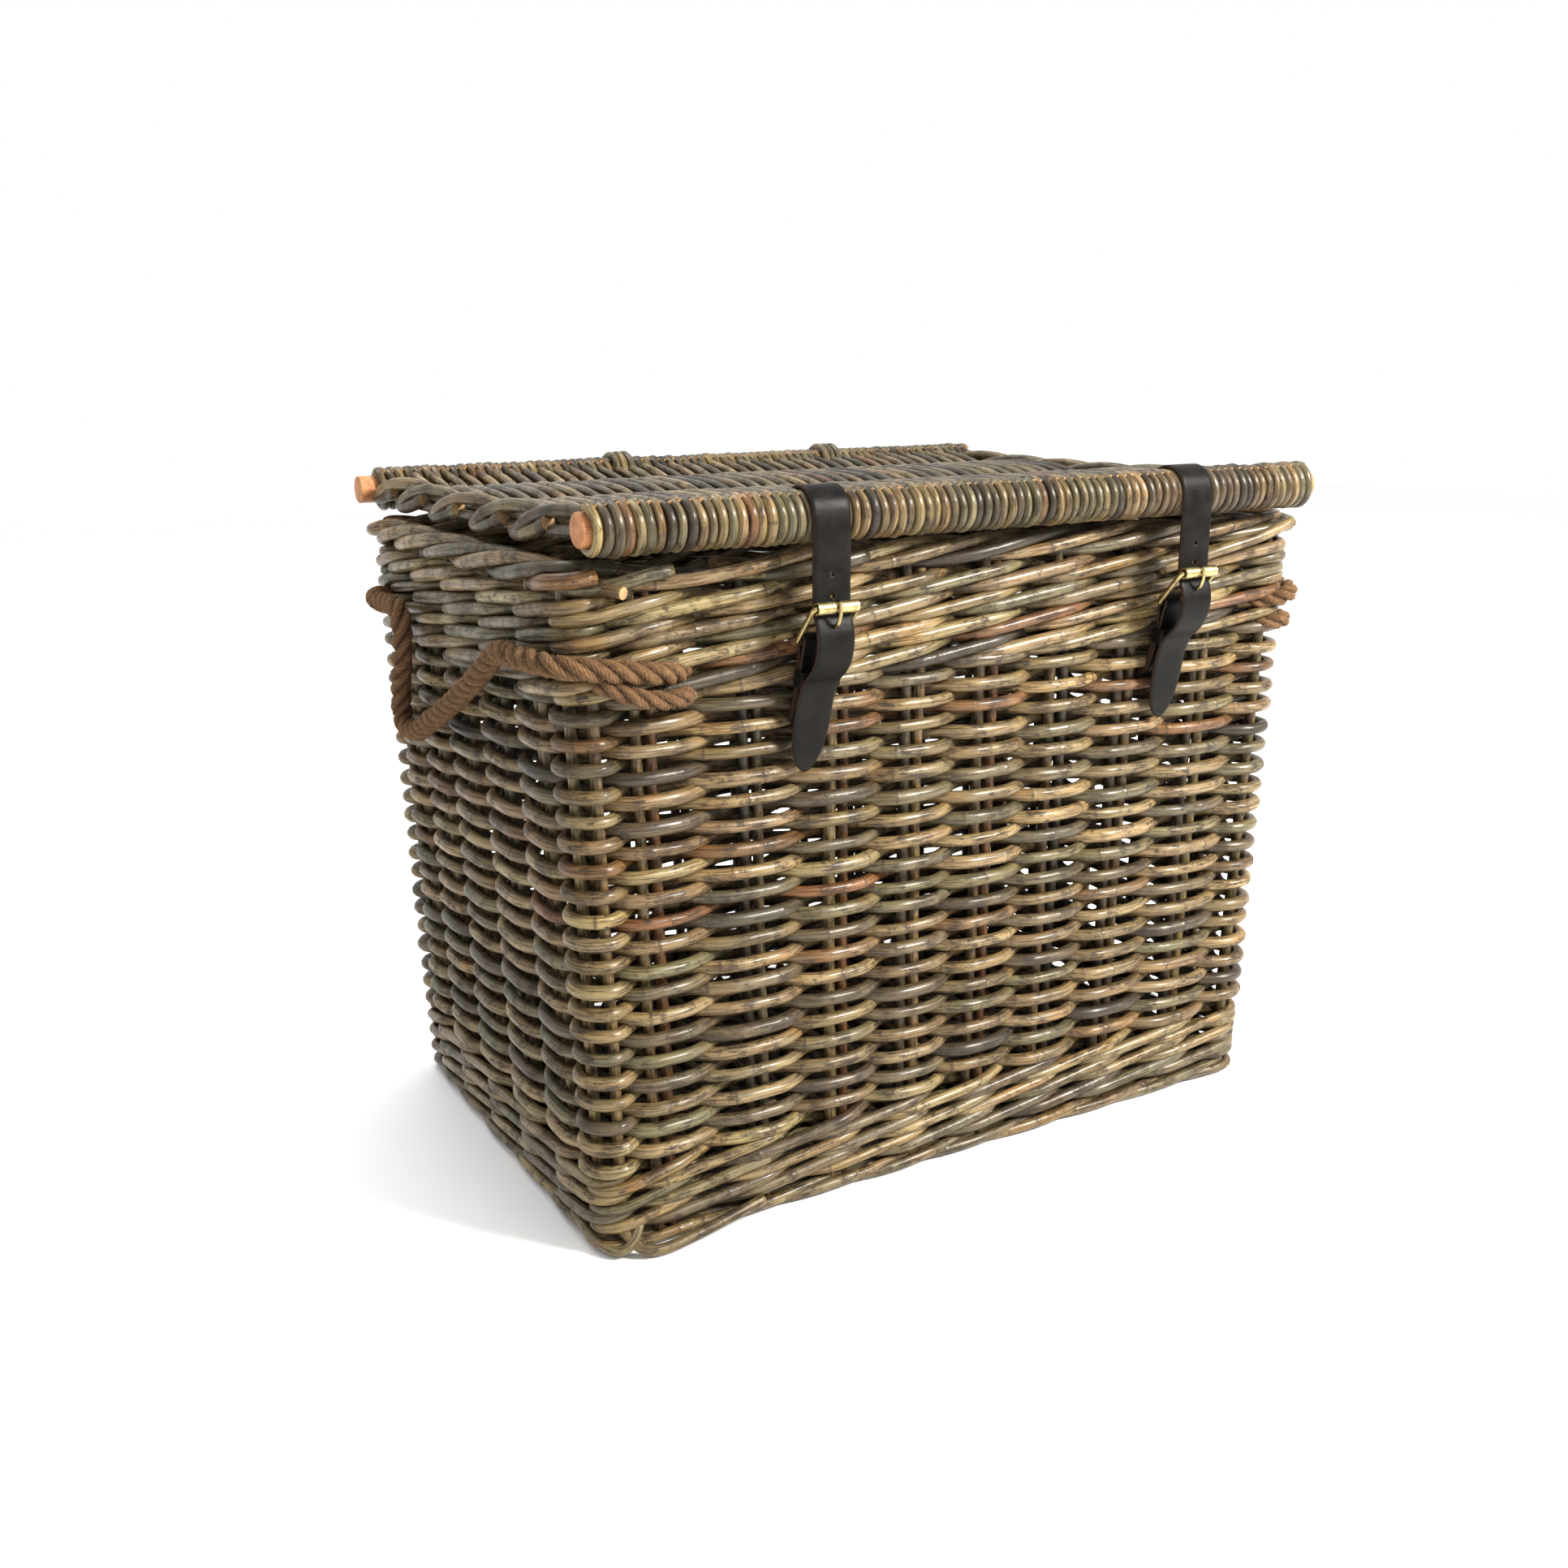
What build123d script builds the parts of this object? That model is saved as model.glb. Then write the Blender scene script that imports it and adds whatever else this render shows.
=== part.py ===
from build123d import *
import math
import os

os.makedirs("parts", exist_ok=True)

# Wicker storage trunk: woven basket, hinged woven lid, two leather strap
# fastenings, two rope carrying handles. Millimetres, X along the length,
# the front faces -Y, Z is up and the floor is Z = 0.

# Basket body
base_half_x = 362.5     # outside of the weave at the floor
base_half_y = 234.0
flare = 16.0            # how far each side leans out from floor to rim
rim_z = 577.0           # top of the rolled rim border
wall_t = 30.0           # rod, stake, rod
corner_r = 22.0
foot_z = 14.0           # top of the foot border
low_wale_z = 62.0       # top of the bottom waling band
high_wale_z = 472.0     # underside of the top waling band
border_z = 552.0        # underside of the rim border
border_out = 8.0        # the rim border stands proud of the weave

# Stakes, always two rods side by side
stake_d = 11.0
stake_gap = 13.0
front_stakes = [-303, -211, -130, -56, 21, 99, 176, 267]
side_stakes = [-160, -74, 16, 101, 176]
corner_inset = 15.0

# Base
mat_low = 18.0
mat_high = 38.0
base_stick_d = 14.0

# Lid
pole_y = 262.0
pole_z = 602.0
pole_d = 26.0
wrap_d = 41.0
pole_left = {"front": -366.0, "back": -379.0}
pole_right = 362.0
wrap_left = -350.0
wrap_right = 358.0
panel_half_x = 338.0
braid_half_x = 362.0
panel_t = 20.0
braid_t = 24.0
lid_sag = 6.0
rib_y = 87.0
rib_d = 11.0

# Rattan hinge loops round the back pole
hinge_x = [-102.0, 156.0]
hinge_w = 24.0
hinge_t = 6.0
hinge_r = 21.0

# Leather strap fastenings
strap_x = {"left": -167.0, "right": 207.0}
strap_w = 33.5
strap_t = 3.0
strap_r = 22.4          # mid leather, round the wrapped front pole
hole_z = [559.0, 542.0]
heel_y = -264.0         # the buckle's hidden lower bar
heel_z = 505.0
top_y = -290.5          # the buckle's top bar, inside the roller
top_z = 534.0
wire_d = 4.4
arm_x = 20.6
roller_r = 5.0
roller_bore = 3.2
roller_half = 18.2
groove_r = 4.0
anchor_t = 6.4          # two leaves of leather stitched together
anchor_y = -249.7       # where the anchor strap meets the weave
anchor_z = 421.0
keeper_h = 14.0
keeper_t = 2.5

# Rope handles
rope_d = 19.0
rope_x = 392.0
rope_z = 504.0


def half_x(z):
    return base_half_x + flare * z / rim_z


def half_y(z):
    return base_half_y + flare * z / rim_z


def fan_x(x, z):
    # stakes fan out a little as the basket widens
    return x * half_x(z) / half_x(300.0)


def fan_y(y, z):
    return y * half_y(z) / half_y(300.0)


def stake_location(x0, y0, x1, y1):
    # a rod standing from the foot border up to the rim border
    foot = Vector(x0, y0, foot_z)
    rise = Vector(x1, y1, border_z) - foot
    return Plane(origin=foot, z_dir=rise).location


def stake_length(x0, y0, x1, y1):
    return (Vector(x1, y1, border_z) - Vector(x0, y0, foot_z)).length


def front_back(side):
    rods = []
    for x in front_stakes:
        for shift in (-stake_gap / 2, stake_gap / 2):
            low_y = side * (half_y(foot_z) - wall_t / 2)
            high_y = side * (half_y(border_z) - wall_t / 2)
            rods.append((fan_x(x, foot_z) + shift, low_y, fan_x(x, border_z) + shift, high_y))
    return rods


def left_right(side):
    rods = []
    for y in side_stakes:
        for shift in (-stake_gap / 2, stake_gap / 2):
            low_x = side * (half_x(foot_z) - wall_t / 2)
            high_x = side * (half_x(border_z) - wall_t / 2)
            rods.append((low_x, fan_y(y, foot_z) + shift, high_x, fan_y(y, border_z) + shift))
    return rods


def corners():
    rods = []
    for sx in (-1, 1):
        for sy in (-1, 1):
            for along, across in ((stake_gap, 0.0), (0.0, stake_gap)):
                low_x = sx * (half_x(foot_z) - corner_inset - along)
                low_y = sy * (half_y(foot_z) - corner_inset - across)
                high_x = sx * (half_x(border_z) - corner_inset - along)
                high_y = sy * (half_y(border_z) - corner_inset - across)
                rods.append((low_x, low_y, high_x, high_y))
    return rods


stake_sets = {
    "stakes_front": front_back(-1),
    "stakes_back": front_back(1),
    "stakes_left": left_right(-1),
    "stakes_right": left_right(1),
    "stakes_corner": corners(),
}

# Rope routes, one per side, drawn for the left and mirrored for the right
grip_points = [
    (-rope_x, 166, rope_z),
    (-rope_x, 121, rope_z - 1),
    (-rope_x - 1, 125, 452),
    (-rope_x, 125, 404),
    (-rope_x + 1, 79, 395),
    (-rope_x, 22, 417),
    (-rope_x + 1, -38, 446),
    (-rope_x, -98, 477),
    (-rope_x + 1, -146, rope_z - 2),
    (-rope_x, -186, rope_z),
]
back_tie_points = [
    (-rope_x, 167.5, rope_z),
    (-rope_x, 194, rope_z + 1),
    (-371, 205, rope_z + 1),
    (-352, 203, rope_z),
]
left_front_points = [
    (-rope_x, -187.5, rope_z),
    (-rope_x + 1, -222, rope_z + 1),
    (-378, -256, rope_z - 1),
    (-338, -261, 497),
    (-290, -259.5, 490),
    (-272, -232, 488),
]
left_eye_points = [
    (-334, -232, 469),
    (-322, -258, 469),
    (-284, -258, 468),
    (-272, -232, 467),
]
right_front_points = [
    (rope_x, -187.5, rope_z),
    (rope_x - 1, -222, rope_z - 1),
    (378, -254, 497),
    (336, -259, 492),
    (322, -232, 491),
]
right_eye_points = [
    (358, -190, 471),
    (386.5, -206, 471),
    (382, -248, 470),
    (336, -258, 469),
    (322, -232, 468),
]


def bend_radii(points):
    radii = []
    for i in range(1, len(points) - 1):
        a = Vector(*points[i]) - Vector(*points[i - 1])
        b = Vector(*points[i + 1]) - Vector(*points[i])
        turn = math.radians(a.get_angle(b))
        radii.append(0.45 * min(a.length, b.length) / math.tan(turn / 2))
    return radii


def rope_tube(points, label):
    radii = bend_radii(points)
    with BuildPart() as tube:
        with BuildLine() as route:
            FilletPolyline(*points, radius=radii)
        start = Plane(origin=route.line @ 0, z_dir=route.line % 0)
        with BuildSketch(start):
            Circle(rope_d / 2)
        sweep(path=route.line)
    length = sum(edge.length for edge in route.line.edges())
    ratio = tube.part.volume / (math.pi * rope_d ** 2 / 4 * length)
    print(label, "radii", [round(r) for r in radii], "length", round(length), "fill", round(ratio, 3))
    tube.part.label = label
    return tube.part


def mirrored(points):
    return [(-x, y, z) for x, y, z in points]


ropes = {
    "handle_left": rope_tube(grip_points, "handle_left"),
    "handle_right": rope_tube(mirrored(grip_points), "handle_right"),
    "rope_left_back": rope_tube(back_tie_points, "rope_left_back"),
    "rope_right_back": rope_tube(mirrored(back_tie_points), "rope_right_back"),
    "rope_left_front": rope_tube(left_front_points, "rope_left_front"),
    "rope_left_eye": rope_tube(left_eye_points, "rope_left_eye"),
    "rope_right_front": rope_tube(right_front_points, "rope_right_front"),
    "rope_right_eye": rope_tube(right_eye_points, "rope_right_eye"),
}
for name, tube in ropes.items():
    export_step(tube, f"parts/{name}.step")
tied_ropes = [tube for name, tube in ropes.items() if not name.startswith("handle")]

# Stakes: pairs of straight rods, leaning out with the walls
all_stakes = []
for name, rods in stake_sets.items():
    with BuildPart() as stakes:
        for rod in rods:
            with Locations(stake_location(*rod)):
                Cylinder(stake_d / 2, stake_length(*rod), align=(Align.CENTER, Align.CENTER, Align.MIN))
        # square the sloping ends off level with the borders
        with Locations((0, 0, (foot_z + border_z) / 2)):
            Box(900, 700, border_z - foot_z, mode=Mode.INTERSECT)
    stakes.part.label = name
    export_step(stakes.part, f"parts/{name}.step")
    all_stakes.append(stakes.part)

# Anchor straps: out of the weave, up to the buckle and round its lower bar
lean = Vector(0, heel_y - anchor_y, heel_z - anchor_z).normalized()
out = Vector(0, -lean.Z, lean.Y)


def on_anchor(along, proud):
    # a point on the sloping line of the anchor strap, in the YZ plane
    p = Vector(0, anchor_y, anchor_z) + lean * along + out * proud
    return (p.Y, p.Z)


anchors = {}
for side, x in strap_x.items():
    with BuildPart() as anchor:
        with BuildSketch(Plane.YZ.offset(x)):
            with BuildLine():
                Polyline(
                    on_anchor(0, -anchor_t / 2),
                    on_anchor(85.2, -anchor_t / 2),
                    on_anchor(85.2, anchor_t / 2),
                    on_anchor(-4, anchor_t / 2),
                    (-210, 413),
                    (-210, 420),
                    close=True,
                )
            make_face()
            with Locations((heel_y, heel_z)):
                Circle(5.6)
                Circle(2.5, mode=Mode.SUBTRACT)
        extrude(amount=strap_w / 2, both=True)
        # slot in the fold that lets the prong out
        with Locations((x, heel_y, heel_z)):
            Box(7, 16, 15, mode=Mode.SUBTRACT)
    anchor.part.label = f"anchor_strap_{side}"
    export_step(anchor.part, f"parts/anchor_strap_{side}.step")
    anchors[side] = anchor.part

# Woven shell of the basket, cut round the stakes, then shared out into bands
with BuildPart() as shell:
    with BuildSketch(Plane.XY.offset(foot_z)):
        RectangleRounded(2 * half_x(foot_z), 2 * half_y(foot_z), corner_r)
    with BuildSketch(Plane.XY.offset(border_z)):
        RectangleRounded(2 * half_x(border_z), 2 * half_y(border_z), corner_r)
    loft()
    with BuildSketch(Plane.XY.offset(foot_z)):
        RectangleRounded(2 * (half_x(foot_z) - wall_t), 2 * (half_y(foot_z) - wall_t), 8)
    with BuildSketch(Plane.XY.offset(border_z)):
        RectangleRounded(2 * (half_x(border_z) - wall_t), 2 * (half_y(border_z) - wall_t), 8)
    loft(mode=Mode.SUBTRACT)
    for stakes in all_stakes:
        add(stakes, mode=Mode.SUBTRACT)
    for tube in tied_ropes:
        add(tube, mode=Mode.SUBTRACT)
    for anchor in anchors.values():
        add(anchor, mode=Mode.SUBTRACT)

with BuildPart() as bottom_wale:
    add(shell.part)
    with Locations((0, 0, (foot_z + low_wale_z) / 2)):
        Box(900, 700, low_wale_z - foot_z, mode=Mode.INTERSECT)
bottom_wale.part.label = "bottom_wale"
export_step(bottom_wale.part, "parts/bottom_wale.step")

with BuildPart() as top_wale:
    add(shell.part)
    with Locations((0, 0, (high_wale_z + border_z) / 2)):
        Box(900, 700, border_z - high_wale_z, mode=Mode.INTERSECT)
top_wale.part.label = "top_wale"
export_step(top_wale.part, "parts/top_wale.step")

# The four woven walls meet on mitres through the corners
mitre_x = half_x(300.0)
mitre_y = half_y(300.0)
wedges = {
    "weave_front": [(-mitre_x - 60, -mitre_y - 60), (mitre_x + 60, -mitre_y - 60),
                    (mitre_x - 100, -mitre_y + 100), (-mitre_x + 100, -mitre_y + 100)],
    "weave_back": [(-mitre_x - 60, mitre_y + 60), (mitre_x + 60, mitre_y + 60),
                   (mitre_x - 100, mitre_y - 100), (-mitre_x + 100, mitre_y - 100)],
    "weave_left": [(-mitre_x - 60, -mitre_y - 60), (-mitre_x - 60, mitre_y + 60),
                   (-mitre_x + 100, mitre_y - 100), (-mitre_x + 100, -mitre_y + 100)],
    "weave_right": [(mitre_x + 60, -mitre_y - 60), (mitre_x + 60, mitre_y + 60),
                    (mitre_x - 100, mitre_y - 100), (mitre_x - 100, -mitre_y + 100)],
}
for name, outline in wedges.items():
    with BuildPart() as wedge:
        with BuildSketch(Plane.XY.offset(low_wale_z)):
            with BuildLine():
                Polyline(*outline, close=True)
            make_face()
        extrude(amount=high_wale_z - low_wale_z)
    with BuildPart() as weave:
        add(shell.part)
        add(wedge.part, mode=Mode.INTERSECT)
    weave.part.label = name
    export_step(weave.part, f"parts/{name}.step")

# Foot border, the roll of rods the basket stands on
with BuildPart() as foot_border:
    with BuildSketch():
        RectangleRounded(2 * base_half_x, 2 * base_half_y, corner_r)
        RectangleRounded(2 * (base_half_x - wall_t - 2), 2 * (base_half_y - wall_t - 2), 8, mode=Mode.SUBTRACT)
    extrude(amount=foot_z)
    fillet(foot_border.edges().group_by(Axis.Z)[0], 4)
foot_border.part.label = "foot_border"
export_step(foot_border.part, "parts/foot_border.step")

# Rim border, the thicker rolled edge under the lid
with BuildPart() as rim_border:
    with BuildSketch(Plane.XY.offset(border_z)):
        RectangleRounded(2 * (half_x(border_z) + border_out), 2 * (half_y(border_z) + border_out), corner_r + 8)
        RectangleRounded(2 * (half_x(border_z) - wall_t), 2 * (half_y(border_z) - wall_t), 8, mode=Mode.SUBTRACT)
    extrude(amount=rim_z - border_z)
    fillet(rim_border.edges().group_by(Axis.Z)[-1], 9)
rim_border.part.label = "rim_border"
export_step(rim_border.part, "parts/rim_border.step")

# Woven base on stout lengthwise sticks
with BuildPart() as base_block:
    with BuildSketch(Plane.XY.offset(mat_low)):
        RectangleRounded(2 * (half_x(mat_low) - wall_t), 2 * (half_y(mat_low) - wall_t), 8)
    with BuildSketch(Plane.XY.offset(mat_high)):
        RectangleRounded(2 * (half_x(mat_high) - wall_t), 2 * (half_y(mat_high) - wall_t), 8)
    loft()

with BuildPart() as stick_rods:
    with Locations(*[(0, y, (mat_low + mat_high) / 2) for y in (-150, -75, 0, 75, 150)]):
        Cylinder(base_stick_d / 2, 800, rotation=(0, 90, 0))

with BuildPart() as base_sticks:
    add(stick_rods.part)
    add(base_block.part, mode=Mode.INTERSECT)
base_sticks.part.label = "base_sticks"
export_step(base_sticks.part, "parts/base_sticks.step")

with BuildPart() as base_mat:
    add(base_block.part)
    add(stick_rods.part, mode=Mode.SUBTRACT)
base_mat.part.label = "base_mat"
export_step(base_mat.part, "parts/base_mat.step")

# Lid poles and the rattan wound round them
for name, y in (("front", -pole_y), ("back", pole_y)):
    with BuildPart() as pole:
        with Locations(((pole_left[name] + pole_right) / 2, y, pole_z)):
            Cylinder(pole_d / 2, pole_right - pole_left[name], rotation=(0, 90, 0))
        chamfer(pole.edges(), 0.8)
    pole.part.label = f"lid_pole_{name}"
    export_step(pole.part, f"parts/lid_pole_{name}.step")

    with BuildPart() as wrap:
        with Locations(((wrap_left + wrap_right) / 2, y, pole_z)):
            Cylinder(wrap_d / 2, wrap_right - wrap_left, rotation=(0, 90, 0))
            Cylinder(pole_d / 2, wrap_right - wrap_left, rotation=(0, 90, 0), mode=Mode.SUBTRACT)
    wrap.part.label = f"lid_wrap_{name}"
    export_step(wrap.part, f"parts/lid_wrap_{name}.step")


def sagging_slab(thickness, x_from, x_to):
    # a slab slung between the two poles, a little lower in the middle
    top = pole_z + thickness / 2
    low = pole_z - thickness / 2
    with BuildPart() as slab:
        with BuildSketch(Plane.YZ.offset(x_from)):
            with BuildLine():
                ThreePointArc((-pole_y, top), (0, top - lid_sag), (pole_y, top))
                Line((pole_y, top), (pole_y, low))
                ThreePointArc((pole_y, low), (0, low - lid_sag), (-pole_y, low))
                Line((-pole_y, low), (-pole_y, top))
            make_face()
        extrude(amount=x_to - x_from)
        for y in (-pole_y, pole_y):
            with Locations(((x_from + x_to) / 2, y, pole_z)):
                Cylinder(wrap_d / 2, 1000, rotation=(0, 90, 0), mode=Mode.SUBTRACT)
    return slab.part


def sag_at(y):
    radius = (pole_y ** 2 + lid_sag ** 2) / (2 * lid_sag)
    return pole_z - lid_sag + radius - math.sqrt(radius ** 2 - y ** 2)


with BuildPart() as lid_ribs:
    for y in (-rib_y, rib_y):
        for shift in (-stake_gap / 2, stake_gap / 2):
            with Locations((0, y + shift, sag_at(y + shift))):
                Cylinder(rib_d / 2, 2 * panel_half_x, rotation=(0, 90, 0))
lid_ribs.part.label = "lid_ribs"
export_step(lid_ribs.part, "parts/lid_ribs.step")

with BuildPart() as lid_panel:
    add(sagging_slab(panel_t, -panel_half_x, panel_half_x))
    add(lid_ribs.part, mode=Mode.SUBTRACT)
    # gaps in the weave that the hinge loops come up through
    with Locations(*[(x, pole_y - 14, pole_z) for x in hinge_x]):
        Box(hinge_w + 10, 32, 60, mode=Mode.SUBTRACT)
lid_panel.part.label = "lid_panel"
export_step(lid_panel.part, "parts/lid_panel.step")

for name, x_from, x_to in (("left", -braid_half_x, -panel_half_x), ("right", panel_half_x, braid_half_x)):
    with BuildPart() as braid:
        add(sagging_slab(braid_t, x_from, x_to))
    braid.part.label = f"lid_braid_{name}"
    export_step(braid.part, f"parts/lid_braid_{name}.step")

# Hinge loops: rattan bound round the back pole and tied into the rim
for name, x in zip(("left", "right"), hinge_x):
    with BuildPart() as hinge_loop:
        with BuildSketch(Plane.YZ.offset(x)):
            with Locations((pole_y, pole_z)):
                Circle(hinge_r + hinge_t)
            with BuildLine():
                Polyline(
                    (pole_y + hinge_r, pole_z),
                    (pole_y + hinge_r + hinge_t, pole_z),
                    (pole_y + hinge_r + 3, pole_z - 24),
                    (262, 540),
                    (252, 528),
                    (246, 528),
                    (256, 545),
                    close=True,
                )
            make_face()
            with Locations((pole_y, pole_z)):
                Circle(hinge_r, mode=Mode.SUBTRACT)
        extrude(amount=hinge_w / 2, both=True)
        add(top_wale.part, mode=Mode.SUBTRACT)
        add(rim_border.part, mode=Mode.SUBTRACT)
    hinge_loop.part.label = f"hinge_loop_{name}"
    export_step(hinge_loop.part, f"parts/hinge_loop_{name}.step")

# Buckles, straps and keepers
tail = anchor_t / 2 + 0.4 + strap_t / 2      # how far the strap's tail lies proud
for side, x in strap_x.items():
    with BuildPart() as strap:
        with BuildSketch(Plane.YZ.offset(x)):
            with BuildLine() as centre:
                arc = CenterArc((-pole_y, pole_z), strap_r, 42, 138)
                FilletPolyline(
                    (-pole_y - strap_r, pole_z),
                    (-283.4, 562),
                    (-282.9, 533),
                    (-290.5, 517),
                    (-288, 497),
                    on_anchor(68, tail),
                    on_anchor(-23, tail),
                    radius=[40, 9, 7, 12, 12],
                )
            trace(line_width=strap_t)
        extrude(amount=strap_w / 2, both=True)
        # punched holes, then the slot that the prong comes through
        with Locations(*[(x, -283, z) for z in hole_z]):
            Cylinder(2, 12, rotation=(90, 0, 0), mode=Mode.SUBTRACT)
        with Locations((x, -288, 521.5)):
            Box(5.4, 14, 13, mode=Mode.SUBTRACT)
        # pointed tip
        with BuildSketch(Plane.XZ.offset(262)):
            with Locations((x, 418)):
                Rectangle(60, 44)
            with BuildLine():
                ThreePointArc((x - strap_w / 2, 440), (x - 13.2, 418), (x - 3, 399.4))
                Line((x - 3, 399.4), (x + 3, 399.4))
                ThreePointArc((x + 3, 399.4), (x + 13.2, 418), (x + strap_w / 2, 440))
                Line((x + strap_w / 2, 440), (x - strap_w / 2, 440))
            make_face(mode=Mode.SUBTRACT)
        extrude(amount=-30, mode=Mode.SUBTRACT)
    strap.part.label = f"strap_{side}"
    export_step(strap.part, f"parts/strap_{side}.step")

    with BuildPart() as keeper:
        keeper_mid = Vector(x, *on_anchor(52, (tail + strap_t / 2 - anchor_t / 2) / 2 + 0.2))
        frame = Plane(origin=keeper_mid, x_dir=(1, 0, 0), z_dir=lean)
        inner_depth = anchor_t + 0.4 + strap_t + 0.4
        with BuildSketch(frame):
            RectangleRounded(strap_w + 1 + 2 * keeper_t, inner_depth + 2 * keeper_t, 2.6)
            RectangleRounded(strap_w + 1, inner_depth, 0.4, mode=Mode.SUBTRACT)
        extrude(amount=keeper_h / 2, both=True)
    keeper.part.label = f"keeper_{side}"
    export_step(keeper.part, f"parts/keeper_{side}.step")

    with BuildPart() as buckle_frame:
        with BuildLine() as loop:
            FilletPolyline(
                (x - arm_x, heel_y, heel_z),
                (x + arm_x, heel_y, heel_z),
                (x + arm_x, top_y, top_z),
                (x - arm_x, top_y, top_z),
                radius=3.2,
                close=True,
            )
        with BuildSketch(Plane(origin=loop.line @ 0, z_dir=loop.line % 0)):
            Circle(wire_d / 2)
        sweep(path=loop.line)
    buckle_frame.part.label = f"buckle_frame_{side}"
    export_step(buckle_frame.part, f"parts/buckle_frame_{side}.step")

    with BuildPart() as roller:
        with Locations((x, top_y, top_z)):
            Cylinder(roller_r, 2 * roller_half, rotation=(0, 90, 0))
            Cylinder(roller_bore, 2 * roller_half, rotation=(0, 90, 0), mode=Mode.SUBTRACT)
        # waist in the middle for the prong to lie in
        with BuildSketch(Plane.YZ.offset(x)):
            with Locations((top_y, top_z)):
                Circle(roller_r + 1)
                Circle(groove_r, mode=Mode.SUBTRACT)
        extrude(amount=2.4, both=True, mode=Mode.SUBTRACT)
    roller.part.label = f"roller_{side}"
    export_step(roller.part, f"parts/roller_{side}.step")

    with BuildPart() as prong:
        with BuildLine() as tongue:
            FilletPolyline(
                (x, heel_y - 3, heel_z + 2.1),
                (x, -283, 515.5),
                (x, -293.5, 522),
                (x, -296.5, 529.5),
                (x, -296.5, 539),
                radius=[15, 5, 6],
            )
        with BuildSketch(Plane(origin=tongue.line @ 0, z_dir=tongue.line % 0)):
            Circle(1.6)
        sweep(path=tongue.line)
        with BuildSketch(Plane.YZ.offset(x)):
            with Locations((heel_y, heel_z)):
                Circle(4.6)
        extrude(amount=2.5, both=True)
        with Locations((x, heel_y, heel_z)):
            Cylinder(2.5, 10, rotation=(0, 90, 0), mode=Mode.SUBTRACT)
    prong.part.label = f"prong_{side}"
    export_step(prong.part, f"parts/prong_{side}.step")
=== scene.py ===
import math

import bpy
import numpy as np
from mathutils import Matrix, Vector


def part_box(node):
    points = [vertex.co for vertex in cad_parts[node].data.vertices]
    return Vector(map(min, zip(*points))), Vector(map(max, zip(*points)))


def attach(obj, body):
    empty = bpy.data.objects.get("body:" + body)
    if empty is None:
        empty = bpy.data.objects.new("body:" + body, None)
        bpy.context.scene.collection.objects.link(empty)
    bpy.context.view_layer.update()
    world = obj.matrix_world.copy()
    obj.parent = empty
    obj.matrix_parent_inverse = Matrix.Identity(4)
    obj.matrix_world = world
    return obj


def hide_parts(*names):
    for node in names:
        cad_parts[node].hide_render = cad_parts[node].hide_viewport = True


# Wicker storage trunk: every rod of the weave, the lid, the leather straps,
# the brass buckles' finish and the laid coir rope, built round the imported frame.
# Metres, X along the length, the front faces -Y, Z up, floor at Z = 0.

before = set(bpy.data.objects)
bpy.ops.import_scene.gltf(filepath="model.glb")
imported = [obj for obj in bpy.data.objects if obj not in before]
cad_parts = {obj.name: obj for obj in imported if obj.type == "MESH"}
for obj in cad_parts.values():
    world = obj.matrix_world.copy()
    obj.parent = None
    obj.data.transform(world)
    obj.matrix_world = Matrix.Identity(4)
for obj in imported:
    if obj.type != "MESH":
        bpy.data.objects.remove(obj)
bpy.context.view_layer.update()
rng = np.random.default_rng(20)


def middle(node):
    low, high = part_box(node)
    return (Vector(low) + Vector(high)) / 2


def size(node):
    low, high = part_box(node)
    return Vector(high) - Vector(low)


# ---------------------------------------------------------------- dimensions
foot_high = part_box("foot_border")[1]
rim_low, rim_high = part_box("rim_border")
BASE_X = foot_high[0]                 # outside of the basket at the floor
BASE_Y = foot_high[1]
RIM_Z = rim_high[2]
BORDER_Z = rim_low[2]
FLARE = 0.016                         # lean of each wall from floor to rim
WALL = 0.030                          # rod, stake, rod
ROD = 0.0057                          # a weaving rod's radius
STAKE = 0.0051                        # a stake's radius
STAKE_GAP = 0.013                     # between the middles of the two stakes of a pair
COURSE = 0.020                        # two weaving rods, one above the other
FIRST_COURSE = 0.083
COURSES = 20
TOP_WALE = (0.479, 0.499, 0.519, 0.539)      # heights of the waling rows
FOOT_WALE = (0.064, 0.047, 0.030)
WALE_RODS = 3                         # rods in a row of waling: in front of two, behind the third
WALE_RISE = 0.0102                    # how far each pass climbs either side of its row
BORDER_RODS = 4                       # rods in a border, and the stakes that each one passes
FRONT_STAKES = (-0.303, -0.211, -0.130, -0.056, 0.021, 0.099, 0.176, 0.267)
SIDE_STAKES = (-0.160, -0.074, 0.016, 0.101, 0.176)
MID_Z = 0.300                         # the height those places are true at
POLE_Y = middle("lid_pole_back").y
POLE_Z = middle("lid_pole_back").z
POLE_R = size("lid_pole_back").z / 2
WRAP_LOW, WRAP_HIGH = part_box("lid_wrap_front")
PANEL_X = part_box("lid_panel")[1][0]
BRAID_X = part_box("lid_braid_right")[1][0]
LID_SAG = 0.006
LID_PITCH = 0.0166                    # from one pair of lid rods to the next
LID_ROD = 0.0043
RIB_Y = 0.087                         # where the lid's pairs of lengthwise ribs lie
TURN = 6.28                           # a whole turn of a random phase


def half_x(z):
    return BASE_X + FLARE * z / RIM_Z


def half_y(z):
    return BASE_Y + FLARE * z / RIM_Z


# ------------------------------------------------------------- rods and tubes
def unit(v):
    return v / np.maximum(np.linalg.norm(v, axis=-1, keepdims=True), 1e-12)


def frames_along(line):
    """Tangents and two square directions at each point of a line."""
    tangent = unit(np.gradient(line, axis=0))
    axes = np.eye(3)
    best = axes[np.argmin(np.abs(tangent @ axes).max(axis=0))]
    side = unit(best - (tangent @ best)[:, None] * tangent)
    return tangent, side, np.cross(tangent, side)


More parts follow.
